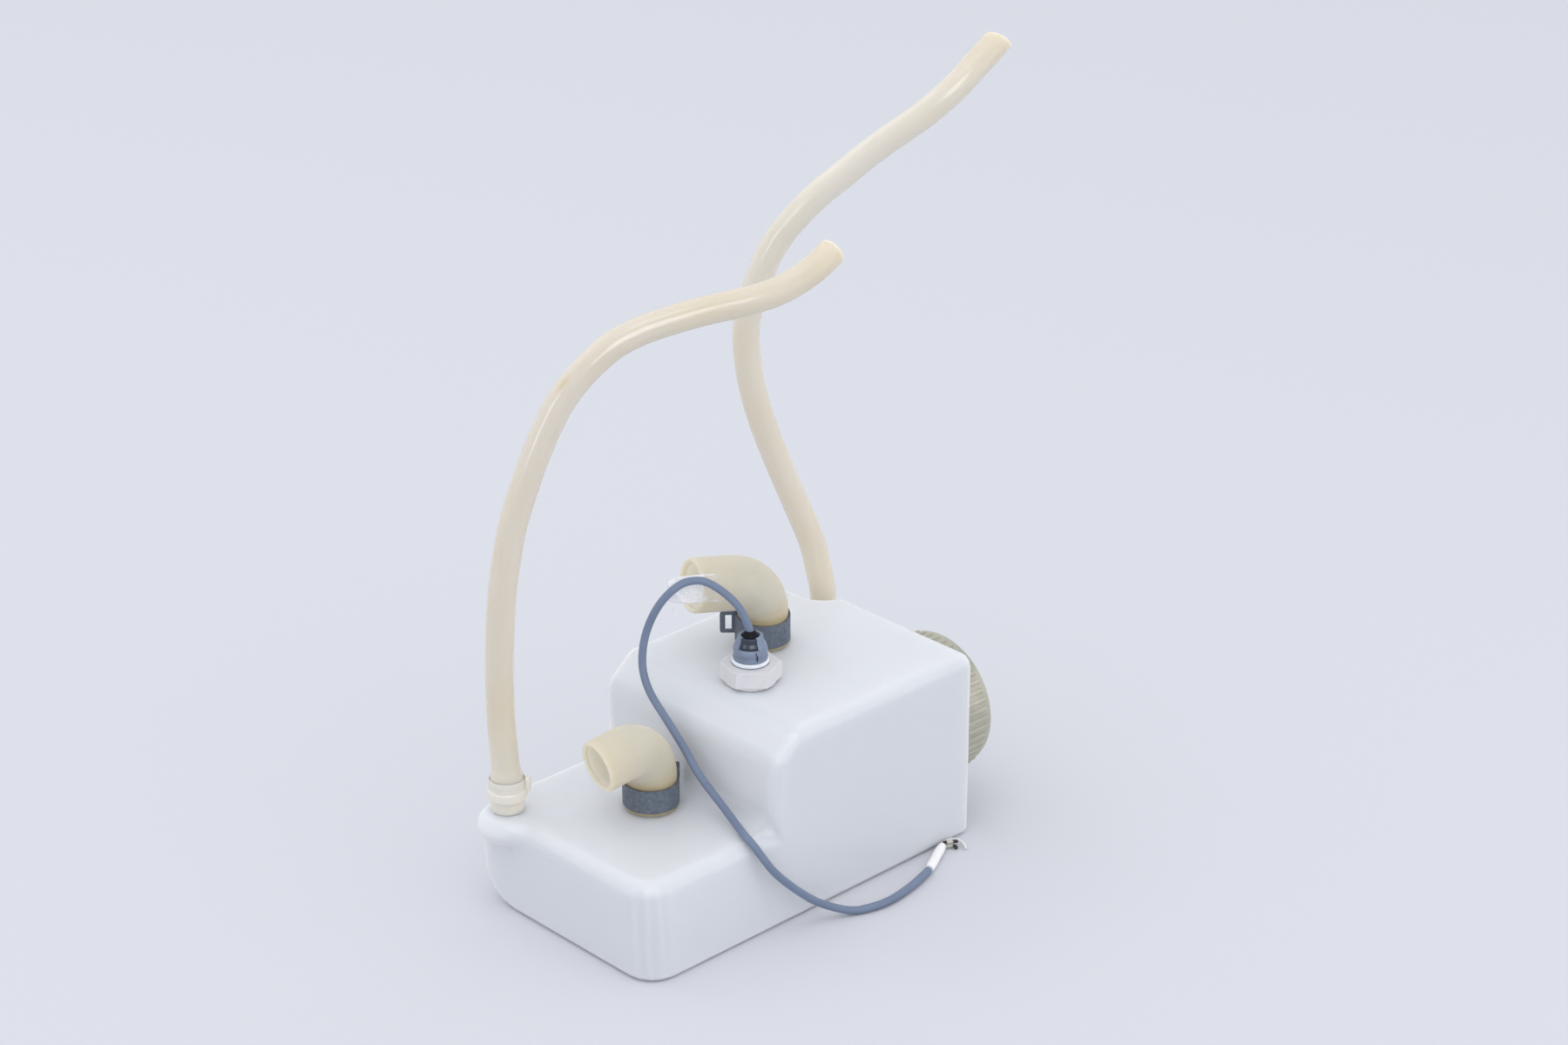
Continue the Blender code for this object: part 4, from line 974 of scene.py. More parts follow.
    def band(self) -> bmesh.types.BMesh:
        """Split band round the riser, with its upper edge falling a little to one side.

        Returns:
            The band's mesh.
        """
        inner = self.bore + self.wall + CLEAR
        outer = inner + self.band_steel
        top = self.band_start + self.band_height
        profile = [(inner, self.band_start), (outer, self.band_start), (outer, top), (inner, top)]
        start = (self.ear_steel + self.band_split) / inner
        stop = self.ear_steel / inner
        matrix = upright(self.place, self.ear_heading) @ Matrix.Rotation(start, 4, "Z")
        solid = turned(profile, matrix, self.band_facets, 2 * pi - (start - stop))
        aim = radians(self.band_fall_heading)
        for vert in solid.verts:
            if vert.co.z > self.place.z + top - MERGE:
                out = vert.co - self.place
                vert.co.z -= self.band_fall * (1 + (out.x * cos(aim) + out.y * sin(aim)) / outer) / 2
        return solid

    def ear(self) -> bmesh.types.BMesh:
        """Windowed ear that stands out from the band.

        Returns:
            The ear's mesh.
        """
        inner = self.bore + self.wall + CLEAR + self.band_steel / 2
        outer = inner + self.band_steel / 2 + self.ear_reach
        foot = self.band_start + self.ear_stand
        solid = bmesh.new()
        bmesh.ops.create_cube(solid, size=1.0)
        bmesh.ops.scale(solid, vec=(outer - inner, self.ear_steel, self.ear_height), verts=solid.verts)
        sides = [face for face in solid.faces if abs(face.normal.y) > 0.9]
        upright_edges = [edge for edge in solid.edges
                         if edge.verts[0].co.x > 0 and edge.verts[1].co.x > 0 and
                         abs(edge.verts[0].co.y - edge.verts[1].co.y) > MERGE]
        bmesh.ops.inset_individual(solid, faces=sides, thickness=self.ear_frame, depth=0.0, use_even_offset=True)
        outer_bar = [vert for face in sides for vert in face.verts if vert.co.x > 0]
        bmesh.ops.translate(solid, vec=(-self.ear_bar, 0, 0), verts=outer_bar)
        window = [edge for face in sides for edge in face.edges]
        bmesh.ops.delete(solid, geom=sides, context="FACES_ONLY")
        bmesh.ops.bridge_loops(solid, edges=window)
        bmesh.ops.bevel(solid, geom=upright_edges, offset=self.ear_rounding, segments=4, profile=0.5, affect="EDGES",
                        material=-1)
        bmesh.ops.recalc_face_normals(solid, faces=solid.faces)
        middle = Matrix.Translation(((inner + outer) / 2, 0, foot + self.ear_height / 2))
        bmesh.ops.transform(solid, matrix=upright(self.place, self.ear_heading) @ middle, verts=solid.verts)
        return solid


@dataclass
class Hose:
    """One long silicone hose on its spigot, with the nylon clip at its foot."""

    tag: str
    foot: Vector
    heading: float
    route: Sequence[tuple[float, float]]
    lean: float
    mark: Optional[Vector] = None
    mark_size: tuple[float, float] = (0.0062, 0.0018)
    cut: Optional[Vector] = None
    # Painted light that pales the hose's middle stretch, where it renders shaded.
    middle_painted_light: float = 0.0
    lean_points: int = 3
    middle_light_start: float = 0.15
    middle_light_reach: float = 0.12
    end_reach: float = 0.07
    # Painted light that pales the foot, where the tank and elbow shade it.
    foot_painted_light: float = 0.35
    foot_reach: float = 0.07
    # Distance from the cut end over which the bore's painted light gives way to the hose's own colour.
    bore_reach: float = 0.05
    spacing: float = 0.004
    chamfer: float = 0.0005
    radius: float = 0.008
    bore: float = 0.005
    foot_radius: float = 0.0095
    spigot_radius: float = 0.0058
    grip: float = 0.0203
    taper: float = 0.006
    clip_start: float = 0.008
    clip_height: float = 0.012
    clip_wall: float = 0.0008
    clip_bead: float = 0.0007
    clip_bead_height: float = 0.005
    tab_reach: float = 0.0024
    tab_width: float = 0.005
    tab_height: float = 0.0085
    tab_heading: float = -44.0
    tab_edge: float = 0.0006
    tooth_start: float = 0.0012
    tooth_pitch: float = 0.0024
    tooth_length: float = 0.0012
    tooth_height: float = 0.0005
    tooth_share: float = 0.8
    tooth_edge: float = 0.0003
    teeth: int = 3
    clip_edge: float = 0.0002
    sides: int = 36

    def build(self) -> None:
        """Build the hose's tube, and its clip."""
        line = self.line()
        hose = show(f"hose_{self.tag}_tube", self.tube(line), HOSE_SILICONE, Body.TANK, f"hose_{self.tag}",
                    sharp=50.0)
        clip = show(f"clip_{self.tag}_ring", self.clip(), NYLON, Body.TANK, f"hose_clip_{self.tag}", sharp=40.0)
        soften(clip, self.clip_edge)

    def line(self) -> list[Vector]:
        """Centre line of the hose, with its last points leaning back out of the route's plane.

        Returns:
            Even points along it.
        """
        knots = []
        for index, (reach, rise) in enumerate(self.route):
            share = max(index + 1 + self.lean_points - len(self.route), 0) / self.lean_points
            knots.append(upright(self.foot, self.heading) @ Vector((reach, self.lean * share ** 2, rise + CLEAR)))
        return spaced(smooth_route(knots), self.spacing)

    def tube(self, line: Sequence[Vector]) -> bmesh.types.BMesh:
        """Hose with its bore, wide over the spigot and cut off at its end.

        Args:
            line: Centre line.

        Returns:
            The hose's mesh.
        """
        poses = carried(line)
        total = measured(line)
        outer = []
        inner = []
        walked = 0.0
        for index, pose in enumerate(poses):
            if index:
                walked += (line[index] - line[index - 1]).length
            slim = eased((walked - self.grip) / self.taper)
            # Share of the middle stretch that gets painted light.
            far = held((walked - self.middle_light_start) / self.middle_light_reach) * held((total - walked) / self.end_reach)
            # Painted light: the foot, and the middle stretch where one is set, are tinted pale against the shade that
            # falls on them.
            stain_and_painted_light = -self.foot_painted_light * held(1 - walked / self.foot_reach) - self.middle_painted_light * eased(far)
            wide = self.spigot_radius + CLEAR
            outer.append(Station(pose, self.foot_radius + (self.radius - self.foot_radius) * slim, stain_and_painted_light))
            # Painted light: the bore is tinted pale, back to the hose's own colour at the cut end.
            inner.append(Station(pose, wide + (self.bore - wide) * slim, -held((total - walked) / self.bore_reach)))
        end = outer.pop()
        bore = inner.pop()
        slope = Matrix.Identity(4)
        if self.cut:
            across = end.pose.to_3x3().transposed() @ self.cut
            slope[2][0], slope[2][1] = -across.x, -across.y
        for share in (0.0, 0.3, 0.7, 1.0):
            angle = share * pi / 2
            drop = Matrix.Translation((0, 0, self.chamfer * (sin(angle) - 1)))
            outer.append(Station(end.pose @ drop @ slope, end.radius - self.chamfer * (1 - cos(angle)), end.stain_and_painted_light))
        inner.append(Station(end.pose @ slope, bore.radius, bore.stain_and_painted_light))
        solid = swept([*outer, *inner[::-1]], self.sides, closed=True)
        if self.mark:
            self.stained(solid, poses)
        return solid

    def stained(self, solid: bmesh.types.BMesh, poses: Sequence[Matrix]) -> None:
        """Lay one brown mark on the hose's skin.

        Args:
            solid: The hose's mesh.
            poses: Poses along its centre line.
        """
        stain_and_painted_light = solid.verts.layers.float["stain_and_painted_light"]
        pose = min(poses, key=lambda pose: (pose.translation - self.mark).length)
        away = pose.to_3x3() @ Vector((0, 0, 1))
        long, short = self.mark_size
        for vert in solid.verts:
            gap = vert.co - self.mark
            along = gap.dot(away)
            across = (gap - away * along).length
            vert[stain_and_painted_light] = max(vert[stain_and_painted_light], 1.0 - (along / long) ** 2 - (across / short) ** 2)

    def clip(self) -> bmesh.types.BMesh:
        """Beaded snap ring with its locking tab.

        Returns:
            The clip's mesh.
        """
        bore = self.foot_radius + CLEAR
        radius = bore + self.clip_wall
        top = self.clip_start + self.clip_height
        bead = self.clip_start + self.clip_bead_height
        full = radius + self.clip_bead
        profile = rounded([
            (bore, self.clip_start, 0), (full, self.clip_start, 0.0007), (full, bead, 0.0007),
            (radius, bead + self.clip_bead, 0), (radius - 0.0002, top - 0.0034, 0), (radius, top - 0.0029, 0),
            (bore + 0.0002, top, 0), (bore, top, 0),
        ])
        matrix = upright(self.foot, self.tab_heading)
        half = self.tab_width / 2
        low = top - self.tab_height
        front = radius + self.tab_reach
        tab = plate((bore + 0.0004, -half, low), (front, half, top), matrix, self.tab_edge)
        half *= self.tooth_share
        teeth = []
        for index in range(self.teeth):
            start = low + self.tooth_start + self.tooth_pitch * index
            teeth.append(plate((front - self.tab_edge, -half, start),
                               (front + self.tooth_height, half, start + self.tooth_length), matrix, self.tooth_edge))
        return joined(turned(profile, matrix), tab, *teeth)


@dataclass
class LevelSwitch:
    """The level switch on the tank's top: washer, hexagon, threaded ring and cable gland."""

    place: Vector = field(default_factory=lambda: in_row(0.1354, 0.0633, 0.0))
    top: float = 0.119
    sleeve_radius: float = 0.0102
    washer_radius: float = 0.0148
    washer: float = 0.0016
    flats: float = 0.031
    nut_height: float = 0.0098
    nut_heading: float = -131.0
    ring_radius: float = 0.0107
    ring_bore: float = 0.0062
    ring_height: float = 0.0022
    gland_radius: float = 0.010
    gland_neck: float = 0.0073
    gland_height: float = 0.0143
    gland_shoulder: float = 0.0075
    gland_bore: float = 0.0052
    bore_depth: float = 0.0085
    seal_recess: float = 0.0008
    seal_height: float = 0.005
    seal_bulge: float = 0.0021
    slot: tuple[float, float] = (-181.0, -102.0)
    crack_heading: float = -110.0
    crack_width: float = 0.00045
    lean_heading: float = -134.0
    cable_lean: float = 0.0008
    cable_radius: float = 0.0023
    washer_edge: float = 0.0005
    nut_edge: float = 0.0004
    gland_edge: float = 0.00022
    crack_depth: float = 0.0012
    crack_proud: float = 0.00008
    crack_edge: float = 0.00012
    crack_links: Sequence[tuple[float, float, float]] = (
        (-0.0006, 0.0048, 0.0070), (0.0001, 0.0028, 0.0050), (-0.0001, 0.0010, 0.0030))

    @property
    def nut_base(self) -> float:
        """Height of the hexagon's underside."""
        return self.top + self.washer + 2 * CLEAR

    @property
    def ring_base(self) -> float:
        """Height of the threaded ring's underside."""
        return self.nut_base + self.nut_height + CLEAR

    @property
    def gland_base(self) -> float:
        """Height of the gland's underside."""
        return self.ring_base + self.ring_height + CLEAR

    @property
    def gland_top(self) -> float:
        """Height of the gland's mouth."""
        return self.gland_base + self.gland_height

    def build(self) -> None:
        """Build every piece that shows, and finish the ones inside the tank."""
        here = upright(self.place)
        base = self.top + CLEAR
        hole = self.sleeve_radius + CLEAR
        washer = rounded([
            (hole, base, 0), (self.washer_radius, base, self.washer_edge),
            (self.washer_radius, base + self.washer, self.washer_edge), (hole, base + self.washer, 0),
        ])
        show("washer_ring", turned(washer, here), IVORY, Body.TANK, "sensor_washer")
        nut = show("nut_hexagon", self.hexagon(), IVORY, Body.TANK, "sensor_nut", sharp=30.0)
        soften(nut, self.nut_edge)
        show("thread_ring", turned(self.thread_profile(), here), WHITE_THREAD, Body.TANK, "sensor_ring", sharp=60.0)
        gland = show("gland_shell", self.gland(), GLAND_GREY, Body.TANK, "gland_body", sharp=34.0)
        soften(gland, self.gland_edge)
        show("gland_core", self.seal(), RUBBER, Body.TANK, "gland_seal")
        show("gland_window", self.window(), SEAL_NAVY, Body.TANK, sharp=50.0)
        show("gland_crack", self.crack(), RUBBER, Body.TANK)
        for node, finish in (("sensor_stem", IVORY), ("reed_switch", GLASS), ("float_stop", STEEL),
                             ("float_shell", FLOAT_PLASTIC), ("float_lid", FLOAT_PLASTIC), ("float_magnet", FERRITE)):
            dress(node, finish)

    def hexagon(self) -> bmesh.types.BMesh:
        """Ring that is cut flat on six sides.

        Returns:
            The hexagon's mesh.
        """
        corner = self.flats / 2 / cos(pi / 6) + CLEAR
        hole = self.sleeve_radius + CLEAR
        high = self.nut_base + self.nut_height
        solid = turned([(hole, self.nut_base), (corner, self.nut_base), (corner, high), (hole, high)],
                       Matrix.Identity(4), 96)
        for side in range(6):
            angle = side * pi / 3
            away = Vector((cos(angle), sin(angle), 0))
            cut = bmesh.ops.bisect_plane(solid, geom=solid.verts[:] + solid.edges[:] + solid.faces[:],
                                         plane_co=away * self.flats / 2, plane_no=away, clear_outer=True)
            rims = [item for item in cut["geom_cut"] if isinstance(item, bmesh.types.BMEdge)]
            bmesh.ops.holes_fill(solid, edges=rims, sides=0)
        bmesh.ops.recalc_face_normals(solid, faces=solid.faces)
        bmesh.ops.transform(solid, matrix=upright(self.place, self.nut_heading), verts=solid.verts)
        return solid

    def thread_profile(self) -> list[tuple[float, float]]:
        """Outline of the ring with the crests of its thread.

        Returns:
            The closed outline.
        """
        low = self.ring_base
        high = low + self.ring_height
        crest = self.ring_radius
        root = crest - 0.0005
        under = root - 0.0008
        return [(self.ring_bore, low), (under, low), (under, low + 0.0003), (crest, low + 0.0005),
                (crest, low + 0.0008), (root, low + 0.0011), (crest, low + 0.0015), (crest, low + 0.0018),
                (root, high), (self.ring_bore, high)]

    def gland(self) -> bmesh.types.BMesh:
        """Stepped collar, and above it a domed crown with a slot on one side.

        Returns:
            The gland's mesh.
        """
        low = self.gland_base
        shoulder = low + self.gland_shoulder
        wall = self.gland_radius
        hole = self.cable_radius + CLEAR
        floor = self.gland_top - self.bore_depth
        collar = rounded([
            (hole, low, 0), (wall, low, 0.0003), (wall, low + 0.0021, 0), (wall - 0.0006, low + 0.0023, 0),
            (wall - 0.0006, low + 0.0041, 0), (wall - 0.0001, low + 0.0043, 0), (wall - 0.0003, shoulder, 0.0012),
            (self.gland_bore, shoulder, 0), (self.gland_bore, floor, 0), (hole, floor, 0),
        ])
        foot = shoulder - 0.0008
        crown = rounded([
            (self.gland_bore, foot, 0), (wall - 0.0006, foot, 0), (wall - 0.0006, shoulder + 0.0006, 0.0028),
            (self.gland_neck, self.gland_top - 0.0022, 0.0015), (self.gland_neck, self.gland_top, 0.0008),
            (self.gland_bore, self.gland_top, 0.0005),
        ])
        start, stop = self.slot
        crown_angle = 2 * pi - radians(stop - start)
        return joined(turned(collar, upright(self.place)), turned(crown, upright(self.place, stop), 60, crown_angle))

    def seal(self) -> bmesh.types.BMesh:
        """Dark seal that grips the cable and shows through the gland's slot.

        Returns:
            The seal's mesh.
        """
        rim = self.gland_top - self.seal_recess
        crest = self.gland_top + self.seal_bulge
        radius = self.gland_bore - CLEAR
        profile = rounded([
            (0, rim - self.seal_height, 0), (radius, rim - self.seal_height, 0), (radius, rim + 0.0009, 0.0008),
            (0.62 * radius, crest, 0.0012), (0, crest, 0),
        ])
        return turned(profile, upright(self.place))

    def window(self) -> bmesh.types.BMesh:
        """Glossy lobe of the seal that fills the crown's slot.

        Returns:
            The lobe's mesh.
        """
        low = self.gland_base + self.gland_shoulder + 0.0004
        crest = self.gland_neck - 0.0002
        profile = rounded([
            (self.gland_bore, low, 0), (self.gland_radius - 0.0012, low, 0.0008), (crest, low + 0.0030, 0.0012),
            (crest, self.gland_top - 0.0002, 0.0006), (self.gland_bore, self.gland_top - 0.0002, 0.0004),
        ])
        start, stop = self.slot
        return turned(profile, upright(self.place, start), 24, radians(stop - start))

    def crack(self) -> bmesh.types.BMesh:
        """Dark crack that runs down the collar from the slot's corner.

        Returns:
            The crack's mesh, a chain of thin plates in the collar's skin.
        """
        matrix = upright(self.place, self.crack_heading)
        inner = self.gland_radius - self.crack_depth
        outer = self.gland_radius + self.crack_proud
        half = self.crack_width / 2
        links = []
        for side, low, high in self.crack_links:
            start = (inner, side - half, self.gland_base + low)
            stop = (outer, side + half, self.gland_base + high)
            links.append(plate(start, stop, matrix, self.crack_edge, 1))
        return joined(*links)


@dataclass
class CableRun:
    """The level switch's cable, its bare marker sleeve and the three cores."""

    mouth: Vector
    root: Vector
    route: Sequence[tuple[float, float, float]]
    sleeve_route: Sequence[tuple[float, float, float]]
    core_routes: dict[str, Sequence[tuple[float, float, float]]]
    radius: float = 0.0023
    spacing: float = 0.003
    sides: int = 20
    end_share: float = 0.35
    sleeve_radius: float = 0.0028
    sleeve_spacing: float = 0.0012
    sleeve_sides: int = 24
    sleeve_ends: tuple[float, float] = (0.10, 0.14)
    sleeve_draws: tuple[float, float] = (0.0004, 0.0005)
    core_radius: float = 0.0008
    core_spacing: float = 0.0006
    core_sides: int = 14
    core_dark: tuple[float, float] = (0.3, 0.62)
    core_swell: float = 1.35
    core_end: float = 0.55

    def build(self) -> None:
        sleeve = show("sleeve_tube", self.sleeve(), SLEEVE_WHITE, Body.TANK, "cable_sleeve", sharp=60.0)
        finishes = {"wire_brown": BROWN, "wire_green": GREEN, "wire_white": WHITE_CORE}
        cores = [show(name.replace("wire", "core"), self.core(name), finishes[name], Body.TANK, name, sharp=60.0)
                 for name in self.core_routes]
        line = spaced(smooth_route([self.root, self.mouth, *[in_row(*point) for point in self.route]]),
                      self.spacing)
        cable = show("cable_sheath", self.sheath(line), SHEATH, Body.TANK, "sensor_cable", sharp=60.0)

    def sheath(self, line: Sequence[Vector]) -> bmesh.types.BMesh:
        """Solid round cable with softly rounded ends.

        Args:
            line: Centre line.

        Returns:
            The cable's mesh.
        """
        poses = carried(line)
        soft = self.end_share * self.radius
        slim = self.radius - soft
        inward = Matrix.Translation((0, 0, soft))
        full = [poses[0] @ inward, *poses[1:-1], poses[-1] @ inward.inverted()]
        stations = [Station(poses[0], slim), *[Station(pose, self.radius) for pose in full], Station(poses[-1], slim)]
        return swept(stations, self.sides, closed=False)

    def sleeve(self) -> bmesh.types.BMesh:
        """Marker sleeve, drawn in at its two ends like shrunk tube.

        Returns:
            The sleeve's mesh.
        """
        poses = carried(spaced(smooth_route([in_row(*point) for point in self.sleeve_route]), self.sleeve_spacing))
        near, far = self.sleeve_ends
        near_draw, far_draw = self.sleeve_draws
        stations = []
        for index, pose in enumerate(poses):
            share = index / (len(poses) - 1)
            drawn = near_draw * held(1 - share / near) + far_draw * held(1 - (1 - share) / far)
            stations.append(Station(pose, self.sleeve_radius - drawn))
        return swept(stations, self.sleeve_sides, closed=False)

    def core(self, name: str) -> bmesh.types.BMesh:
        """One core, with a swollen dark end on the green one and the brown one.

        Args:
            name: CAD node of the core.

        Returns:
            The core's mesh.
        """
        poses = carried(spaced(smooth_route([in_row(*point) for point in self.core_routes[name]]), self.core_spacing))
        early, late = self.core_dark
        last = len(poses) - 1
        stations = []
        for index, pose in enumerate(poses):
            share = index / last
            dark = share > late or (name == "wire_brown" and share < early)
            wide = self.core_swell if dark and name != "wire_white" else 1.0
            thin = self.core_end if index in (0, last) else 1.0
            stations.append(Station(pose, self.core_radius * wide * thin, 1.0 if dark else 0.0))
        return swept(stations, self.core_sides, closed=False)


@dataclass
class FilmScrap:
    """The scrap of clear film that clings to the upper elbow's leg and hangs past its mouth."""

    elbow: ClampedElbow
    thickness: float = 0.00012
    grip: float = 0.016
    overhang: float = 0.0195
    furl: float = 0.0045
    furl_start: float = 0.010
    start: float = 45.0
    span: float = 58.0
    tail_length: float = 0.020
    tail_width: float = 0.003
    tail_share: float = 0.35
    tail_inset: float = 0.003
    lift: float = 0.0003
    sink: float = 0.0012
    loose_start: float = 0.004
    loose_reach: float = 0.010
    ruffle_held: float = 0.0004
    ruffle_free: float = 0.0014
    ruffle_bias: float = 0.35

    def build(self) -> None:
        film = show("film_scrap", joined(self.strip(), self.tail()), FILM, Body.TANK, "mouth_film", sharp=180.0)
        shell = film.modifiers.new("film", "SOLIDIFY")
        shell.thickness = self.thickness
        shell.offset = 1.0

    @property
    def radius(self) -> float:
        """Radius of the elbow's leg with the film's clearance."""
        return self.elbow.bore + self.elbow.wall + self.elbow.swell + CLEAR

    def strip(self) -> bmesh.types.BMesh:
        """Strip that clings to the leg and crumples where it leaves the mouth.

        Returns:
            The strip's mesh.
        """
        solid = bmesh.new()
        solid.loops.layers.uv.new("UVMap")
        bmesh.ops.create_grid(solid, x_segments=44, y_segments=26, size=0.5, calc_uvs=True)
        for vert in solid.verts:
            along = (vert.co.x + 0.5) * (self.grip + self.overhang) - self.grip
            angle = radians(self.start + (vert.co.y + 0.5) * self.span)
            free = held((along + self.loose_start) / self.loose_reach)
            ruffle = noise.noise(Vector((along * 260, angle * 5.0, 3.1))) * 0.6
            ruffle += noise.noise(Vector((along * 700, angle * 11.0, 7.7))) * 0.25
            height = (self.ruffle_held + self.ruffle_free * free) * max(ruffle + self.ruffle_bias, 0.0)
            radius = self.radius + self.lift + height - self.sink * free - self.furled(along)
            vert.co = Vector((along, radius * sin(angle), radius * cos(angle)))
        bmesh.ops.transform(solid, matrix=self.elbow.mouth(), verts=solid.verts)
        return solid

    def furled(self, along: float) -> float:
        """How far the free end has curled in at a distance past the mouth."""
        return self.furl * max((along - self.furl_start) / (self.overhang - self.furl_start), 0.0) ** 2

    def tail(self) -> bmesh.types.BMesh:
        """Thin tail that hangs from the strip's lower corner.

        Returns:
            The tail's mesh.
        """
        end = radians(self.start + self.span)
        solid = bmesh.new()
        solid.loops.layers.uv.new("UVMap")
        bmesh.ops.create_grid(solid, x_segments=4, y_segments=24, size=0.5, calc_uvs=True)
        for vert in solid.verts:
            drop = 0.5 - vert.co.y
            swing = 0.0012 * sin(5.0 * drop) * drop
            along = self.overhang - self.tail_inset - self.tail_width * (0.55 - vert.co.x * (1 - 0.5 * drop)) - swing
            radius = self.radius - self.furled(along)
            side = radius * sin(end) - 0.0004 + 0.0006 * sin(7 * drop + 4 * vert.co.x)
            vert.co = Vector((along, side, radius * cos(end) - drop * self.tail_length))
        flat = solid.loops.layers.uv.active
        for loop in [loop for face in solid.faces for loop in face.loops]:
            loop[flat].uv *= self.tail_share
        bmesh.ops.transform(solid, matrix=self.elbow.mouth(), verts=solid.verts)
        return solid


@dataclass
class Studio:
    """Plain pale floor, soft light and the camera at the photograph's angle."""

    pale: Colour = (0.574, 0.588, 0.634)
    light: Colour = (0.97, 0.98, 1.0)
    light_strength: float = 1.2
    backdrop: Colour = (0.735, 0.755, 0.825)
    lamp_aim: Vector = field(default_factory=lambda: Vector((0, 0, 0.1)))
    floor_size: float = 14.0
    floor_drop: float = 0.0002
    azimuth: float = -43.827
    elevation: float = 24.578
    camera_place: Vector = field(default_factory=lambda: in_row(-1.0715, -1.2215, 1.0238))
    lens: float = 80.0
    sensor: float = 36.0

    def build(self) -> None:
        """Set the stage."""
        self.floor()
        self.world()
        self.lamp("side", (0.55, -2.0, 0.55), (1.6, 0.7), 3.3)
        self.lamp("rim", (-0.6, 1.9, 1.9), (1.4, 0.7), 3.5)
        self.lamp("top", (-0.5, -0.3, 2.5), (1.0, 1.0), 4.5)
        self.lamp("left_window", (-1.45, 0.05, 0.63), (0.3, 0.6), 2.5, sheen=True)
        self.lamp("front_window", (-1.06, -1.84, 1.43), (1.4, 1.4), 27.0, sheen=True)
        self.camera()
        bpy.context.scene.view_settings.view_transform = "Standard"

    def floor(self) -> None:
        """Lay a large pale floor."""
        solid = bmesh.new()
        bmesh.ops.create_grid(solid, x_segments=1, y_segments=1, size=self.floor_size / 2)
        bmesh.ops.translate(solid, vec=(0, 0, -self.floor_drop), verts=solid.verts)
        mesh = bpy.data.meshes.new("floor")
        solid.to_mesh(mesh)
        solid.free()
        material = bpy.data.materials.new("floor_pale")
        material.use_nodes = True
        shader = material.node_tree.nodes["Principled BSDF"]
        shader.inputs["Base Color"].default_value = (*self.pale, 1.0)
        shader.inputs["Roughness"].default_value = 0.9
        shader.inputs["Specular IOR Level"].default_value = 0.1
        mesh.materials.append(material)
        floor = bpy.data.objects.new("floor", mesh)
        bpy.context.scene.collection.objects.link(floor)

    def world(self) -> None:
        """Light everything evenly, and show the floor's colour past its edge and in mirrors."""
        world = bpy.data.worlds.new("soft_light")
        world.use_nodes = True
        nodes = world.node_tree.nodes
        links = world.node_tree.links
        light = nodes["Background"]
        light.inputs["Color"].default_value = (*self.light, 1.0)
        light.inputs["Strength"].default_value = self.light_strength
        seen = nodes.new("ShaderNodeBackground")
        seen.inputs["Color"].default_value = (*self.backdrop, 1.0)
        path = nodes.new("ShaderNodeLightPath")
        mix = nodes.new("ShaderNodeMixShader")
        seeing = path.outputs["Is Camera Ray"]
        for ray in ("Is Glossy Ray", "Is Transmission Ray"):
            either = nodes.new("ShaderNodeMath")
            either.operation = "MAXIMUM"
            links.new(seeing, either.inputs[0])
            links.new(path.outputs[ray], either.inputs[1])
            seeing = either.outputs["Value"]
        links.new(seeing, mix.inputs["Fac"])
        links.new(light.outputs["Background"], mix.inputs[1])
        links.new(seen.outputs["Background"], mix.inputs[2])
        links.new(mix.outputs["Shader"], nodes["World Output"].inputs["Surface"])
        bpy.context.scene.world = world

    def lamp(self, name: str, place: Sequence[float], size: tuple[float, float], power: float,
             sheen: bool = False) -> None:
        """Add one soft lamp that looks at the tank.

        Args:
            name: Name of the lamp.
            place: Where it hangs.
            size: Its two sides.
            power: Its power in watts.
            sheen: Whether it shows in reflections alone, as a far window does.
        """
        data = bpy.data.lights.new(name, "AREA")
        data.shape = "RECTANGLE"
        data.size, data.size_y = size
        data.energy = power
        lamp = bpy.data.objects.new(name, data)
        lamp.location = place
        lamp.visible_diffuse = not sheen
        lamp.rotation_euler = (self.lamp_aim - Vector(place)).to_track_quat("-Z", "Y").to_euler()
        bpy.context.scene.collection.objects.link(lamp)

    def camera(self) -> None:
        """Put the camera where the photograph was taken from."""
        data = bpy.data.cameras.new("camera")
        data.lens = self.lens
        data.sensor_width = self.sensor
        data.sensor_fit = "HORIZONTAL"
        data.clip_end = 50.0
        camera = bpy.data.objects.new("camera", data)
        turn = radians(self.azimuth)
        rise = radians(self.elevation)
        back = Vector((sin(turn) * cos(rise), -cos(turn) * cos(rise), sin(rise)))
        camera.location = self.camera_place
        camera.rotation_euler = (-back).to_track_quat("-Z", "Y").to_euler()
        bpy.context.scene.collection.objects.link(camera)
        bpy.context.scene.camera = camera


HOSE_FRONT_ROUTE = [
    (0.000, 0.000), (0.000, 0.018), (-0.001, 0.036), (-0.002, 0.058), (-0.002, 0.082),
    (-0.001, 0.105), (0.001, 0.131), (0.004, 0.151), (0.008, 0.171), (0.014, 0.190),
    (0.021, 0.209), (0.029, 0.227), (0.038, 0.243), (0.050, 0.257), (0.066, 0.270),
    (0.082, 0.277), (0.099, 0.281), (0.117, 0.284), (0.135, 0.286), (0.150, 0.288),
    (0.1654, 0.2914), (0.1828, 0.2981), (0.1968, 0.305),
]
HOSE_REAR_ROUTE = [
    (0.000, 0.000), (0.000, 0.018), (0.000, 0.032), (-0.002, 0.045), (-0.007, 0.067),
    (-0.015, 0.088), (-0.023, 0.108), (-0.031, 0.129), (-0.038, 0.150), (-0.043, 0.171),
    (-0.0455, 0.193), (-0.045, 0.208), (-0.042, 0.222), (-0.035, 0.242), (-0.027, 0.258),
    (-0.017, 0.271), (-0.005, 0.284), (0.010, 0.297), (0.025, 0.310), (0.041, 0.322),
    (0.057, 0.334), (0.072, 0.3468), (0.0845, 0.3583), (0.098, 0.3695),
]
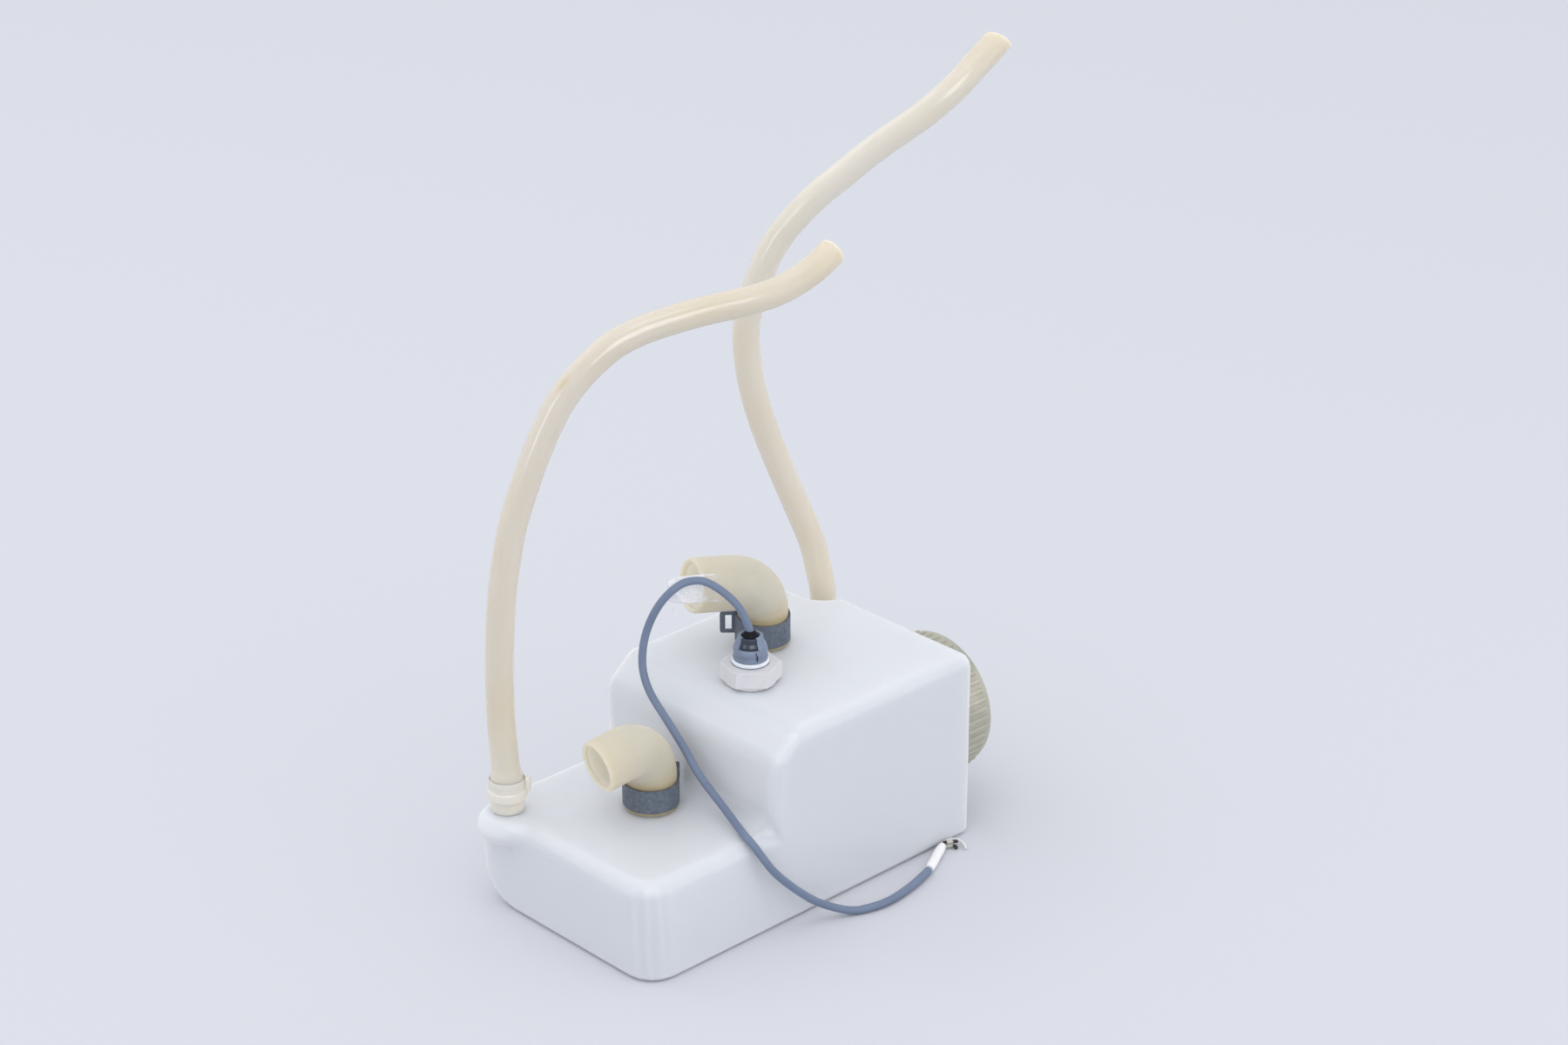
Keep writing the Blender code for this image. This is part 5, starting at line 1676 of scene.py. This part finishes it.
CABLE_ROUTE = [
    (0.1347, 0.0668, 0.1570), (0.1327, 0.0719, 0.1650), (0.1288, 0.0814, 0.1722),
    (0.1231, 0.0899, 0.1765), (0.1137, 0.0943, 0.1769), (0.1057, 0.0970, 0.1729),
    (0.1004, 0.1008, 0.1653), (0.0968, 0.1040, 0.1561), (0.0940, 0.1060, 0.1461),
    (0.0911, 0.1053, 0.1368), (0.0893, 0.1032, 0.1274), (0.0882, 0.0982, 0.1187),
    (0.0880, 0.0915, 0.1115), (0.0880, 0.0835, 0.1050), (0.0875, 0.0675, 0.0920),
    (0.0860, 0.0525, 0.0800), (0.0850, 0.0335, 0.0695), (0.0800, 0.0120, 0.0632),
    (0.0796, 0.0021, 0.0587), (0.0870, -0.0074, 0.0423), (0.1060, -0.0103, 0.0220),
    (0.1210, -0.0125, 0.0100), (0.1360, -0.0188, 0.0028), (0.1470, -0.0235, 0.0024),
    (0.1610, -0.0255, 0.0024), (0.1810, -0.0228, 0.0025), (0.2004, -0.0176, 0.0028),
]
SLEEVE_ROUTE = [(0.2008, -0.0174, 0.0029), (0.2131, -0.0107, 0.0029), (0.2255, -0.0041, 0.0029)]
CORE_ROUTES = {
    "wire_brown": [
        (0.2262, -0.0043, 0.0039), (0.2279, -0.0037, 0.0042), (0.2300, -0.0051, 0.0042),
        (0.2333, -0.0059, 0.0038), (0.2358, -0.0069, 0.0032),
    ],
    "wire_green": [
        (0.2264, -0.0048, 0.0018), (0.2282, -0.0045, 0.0018), (0.2311, -0.0060, 0.0017),
        (0.2327, -0.0074, 0.0014), (0.2322, -0.0097, 0.0012),
    ],
    "wire_white": [
        (0.2256, -0.0028, 0.0030), (0.2272, -0.0020, 0.0030), (0.2300, -0.0019, 0.0032),
        (0.2350, -0.0024, 0.0030), (0.2381, -0.0057, 0.0024), (0.2376, -0.0104, 0.0016),
        (0.2355, -0.0135, 0.0012),
    ],
}


def main() -> None:
    """Build the stage and every sub-assembly."""
    logging.basicConfig(level=logging.INFO, format="%(message)s")
    Studio().build()
    switch = LevelSwitch()
    lean = Vector((cos(radians(switch.lean_heading)), sin(radians(switch.lean_heading)), 0)) * -switch.cable_lean
    mouth = switch.place + lean + Vector((0, 0, switch.gland_top))
    root = mouth - lean / 2 - Vector((0, 0, switch.bore_depth - CLEAR))
    upper = ClampedElbow("upper", in_row(0.174, 0.094, 0.119), heading=162.0, riser=0.0202, leg=0.027, swell=0.0012,
                         band_height=0.0178, ear_heading=138.0, ear_height=0.0136, turn=82.0, band_fall=0.0034)
    lower = ClampedElbow("lower", in_row(0.068, 0.074, 0.060), heading=185.0, riser=0.0195, leg=0.0210, swell=0.0004,
                         band_height=0.0142, ear_heading=8.0, ear_height=0.0113,
                         mouth_lean=Vector((0.0, 0.26, 0.20)))
    assemblies = [
        Hose("front", in_row(0.0055, 0.125, 0.0615), heading=-24.8, route=HOSE_FRONT_ROUTE, lean=0.0126,
             mark=in_row(0.0390, 0.1053, 0.3162)),
        Hose("rear", in_row(0.2535, 0.125, 0.0806), heading=-43.8, route=HOSE_REAR_ROUTE, lean=0.0229,
             cut=Vector((-0.092, 0.193, 0.164)), middle_painted_light=0.22),
        CableRun(mouth, root, CABLE_ROUTE, SLEEVE_ROUTE, CORE_ROUTES),
        TankShell(),
        FillerCap(),
        upper,
        lower,
        switch,
        FilmScrap(upper),
    ]
    for assembly in assemblies:
        assembly.build()


if __name__ == "__main__":
    main()
